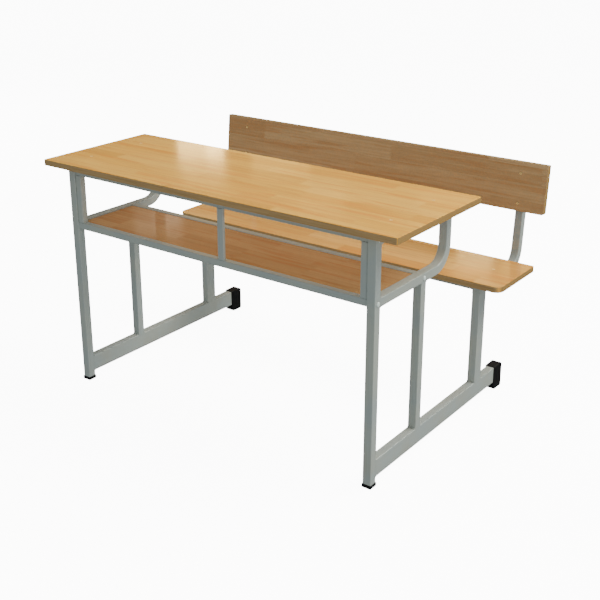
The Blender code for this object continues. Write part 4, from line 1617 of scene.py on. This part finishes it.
@dataclass(frozen=True)
class WindowGlow:
    """A bright window that shows only as a soft reflection in the lacquer."""

    name: str
    surface: str
    pixel: tuple[float, float]
    pixel_size: tuple[float, float]
    brightness: float
    colour: Triple
    distance: float = 60.0

    def build(self, viewpoint: Viewpoint) -> None:
        """Hangs the window where the board mirrors it to the camera.

        Args:
            viewpoint: The camera.
        """
        ray = viewpoint.ray(self.pixel)
        level = Box.of(self.surface).high.z
        mirror = viewpoint.place + ray * ((level - viewpoint.place.z) / ray.z)
        away = Vector((ray.x, ray.y, -ray.z))
        reach = (mirror - viewpoint.place).length + self.distance
        width, height = (pixels * reach / viewpoint.focal_pixels for pixels in self.pixel_size)
        Softbox(
            name=self.name,
            place=mirror + away * self.distance,
            size=(width, height),
            power=self.brightness * math.pi * width * height,
            colour=self.colour,
            target=mirror,
            lights_surfaces=False,
            mirrored=True,
        ).build()


@dataclass
class Studio:
    """A pale paper sweep, four softboxes, soft light from all round and the camera."""

    viewpoint: Viewpoint = field(default_factory=Viewpoint)
    floor_radius: float = 7.0
    sweep_radius: float = 3.0
    wall_height: float = 4.0
    sweep_steps: int = 24
    round_steps: int = 96
    ambient: Colour = (0.93, 1.0, 1.04, 1.0)
    ambient_strength: float = 0.6
    mirrored_strength: float = 0.09
    softboxes: tuple[Softbox, ...] = (
        Softbox("key_softbox", (2.6, 1.7, 4.4), (2.6, 2.6), 305.0, (1.0, 0.97, 0.92), mirrored=True),
        Softbox("side_softbox", (9.0, -2.05, 1.2), (4.1, 4.1), 255.0, (1.0, 1.0, 0.98)),
        Softbox("far_softbox", (-5.0, 0.8, 1.3), (1.5, 1.5), 80.0, (1.0, 0.98, 0.94)),
        Softbox(
            name="shelf_softbox",
            place=(0.0, -0.26, 0.645),
            size=(1.07, 0.26),
            power=0.56,
            colour=(1.0, 0.98, 0.94),
            target=(0.0, -0.26, 0.0),
        ),
    )
    glows: tuple[WindowGlow, ...] = (
        WindowGlow("desk_window_glow", "desk_top", (201, 145), (46, 24), 17.0, AMBER),
        WindowGlow("desk_window_core", "desk_top", (215, 147), (16, 22), 14.0, AMBER),
        WindowGlow("desk_window_veil", "desk_top", (206, 166), (44, 36), 1.9, HONEY),
        WindowGlow("desk_far_veil", "desk_top", (281, 161), (58, 22), 3.4, HONEY),
        WindowGlow("desk_middle_veil", "desk_top", (322, 201), (44, 24), 1.7, HONEY),
        WindowGlow("desk_end_veil", "desk_top", (444, 201), (50, 26), 1.4, HONEY),
        WindowGlow("shelf_window_glow", "shelf_board", (168, 216), (28, 14), 2.3, CREAM),
        WindowGlow("shelf_window_veil", "shelf_board", (158, 222), (46, 30), 1.0, CREAM),
        WindowGlow("seat_window_glow", "seat_board", (476, 255), (36, 20), 10.5, AMBER),
        WindowGlow("seat_window_veil", "seat_board", (470, 268), (38, 28), 3.6, HONEY),
        WindowGlow("seat_end_veil", "seat_board", (518, 266), (36, 24), 5.2, HONEY),
    )

    def build(self) -> None:
        """Sets up the studio."""
        self.sweep()
        self.air()
        for softbox in self.softboxes:
            softbox.build()
        for glow in self.glows:
            glow.build(self.viewpoint)
        self.viewpoint.build()

    def sweep(self) -> None:
        """The paper floor, which curves up to a wall all round."""
        bm = bmesh.new()
        start = bm.verts.new((0, 0, 0))
        edge = bm.verts.new((self.floor_radius, 0, 0))
        bm.edges.new((start, edge))
        centre = (self.floor_radius, 0, self.sweep_radius)
        curve = {"cent": centre, "axis": (0, -1, 0), "angle": math.pi / 2, "steps": self.sweep_steps}
        rise = bmesh.ops.spin(bm, geom=[edge], **curve)["geom_last"]
        made = bmesh.ops.extrude_vert_indiv(bm, verts=verts_of(rise))
        bmesh.ops.translate(bm, vec=UP * self.wall_height, verts=made["verts"])
        circle = {"cent": (0, 0, 0), "axis": UP, "angle": math.tau, "steps": self.round_steps}
        bmesh.ops.spin(bm, geom=bm.verts[:] + bm.edges[:], use_merge=True, **circle)
        bmesh.ops.remove_doubles(bm, verts=bm.verts, dist=MERGE_DISTANCE)
        bmesh.ops.recalc_face_normals(bm, faces=bm.faces)
        sweep = linked("paper_sweep", mesh_of("paper_sweep", bm, PaperSweep().material()))
        sweep.visible_diffuse = False
        sweep.visible_glossy = False
        sweep.visible_shadow = False
        LOG.info("laid the paper sweep")

    def air(self) -> None:
        """The even light from all round."""
        world = bpy.data.worlds.new("studio_air")
        world.use_nodes = True
        nodes, links = world.node_tree.nodes, world.node_tree.links
        background = nodes["Background"]
        background.inputs["Color"].default_value = self.ambient
        # Reflections see a dimmer room, so that the lacquer keeps its colour.
        seen = nodes.new("ShaderNodeLightPath")
        strength = nodes.new("ShaderNodeMapRange")
        strength.inputs["To Min"].default_value = self.ambient_strength
        strength.inputs["To Max"].default_value = self.mirrored_strength
        links.new(seen.outputs["Is Glossy Ray"], strength.inputs["Value"])
        links.new(strength.outputs["Result"], background.inputs["Strength"])
        bpy.context.scene.world = world
        LOG.info("lit the air")


def main() -> None:
    """Loads the frame and builds every sub-assembly on it."""
    logging.basicConfig(level=logging.INFO, format="%(message)s")
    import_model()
    enamel = GreyEnamel().finish()
    for side in SIDES:
        SideFrame(side, enamel).build()
    CrossFrame(enamel).build()
    Boards().build()
    Fasteners().build()
    PlasticFittings(BlackPlastic().finish()).build()
    Studio().build()


if __name__ == "__main__":
    main()
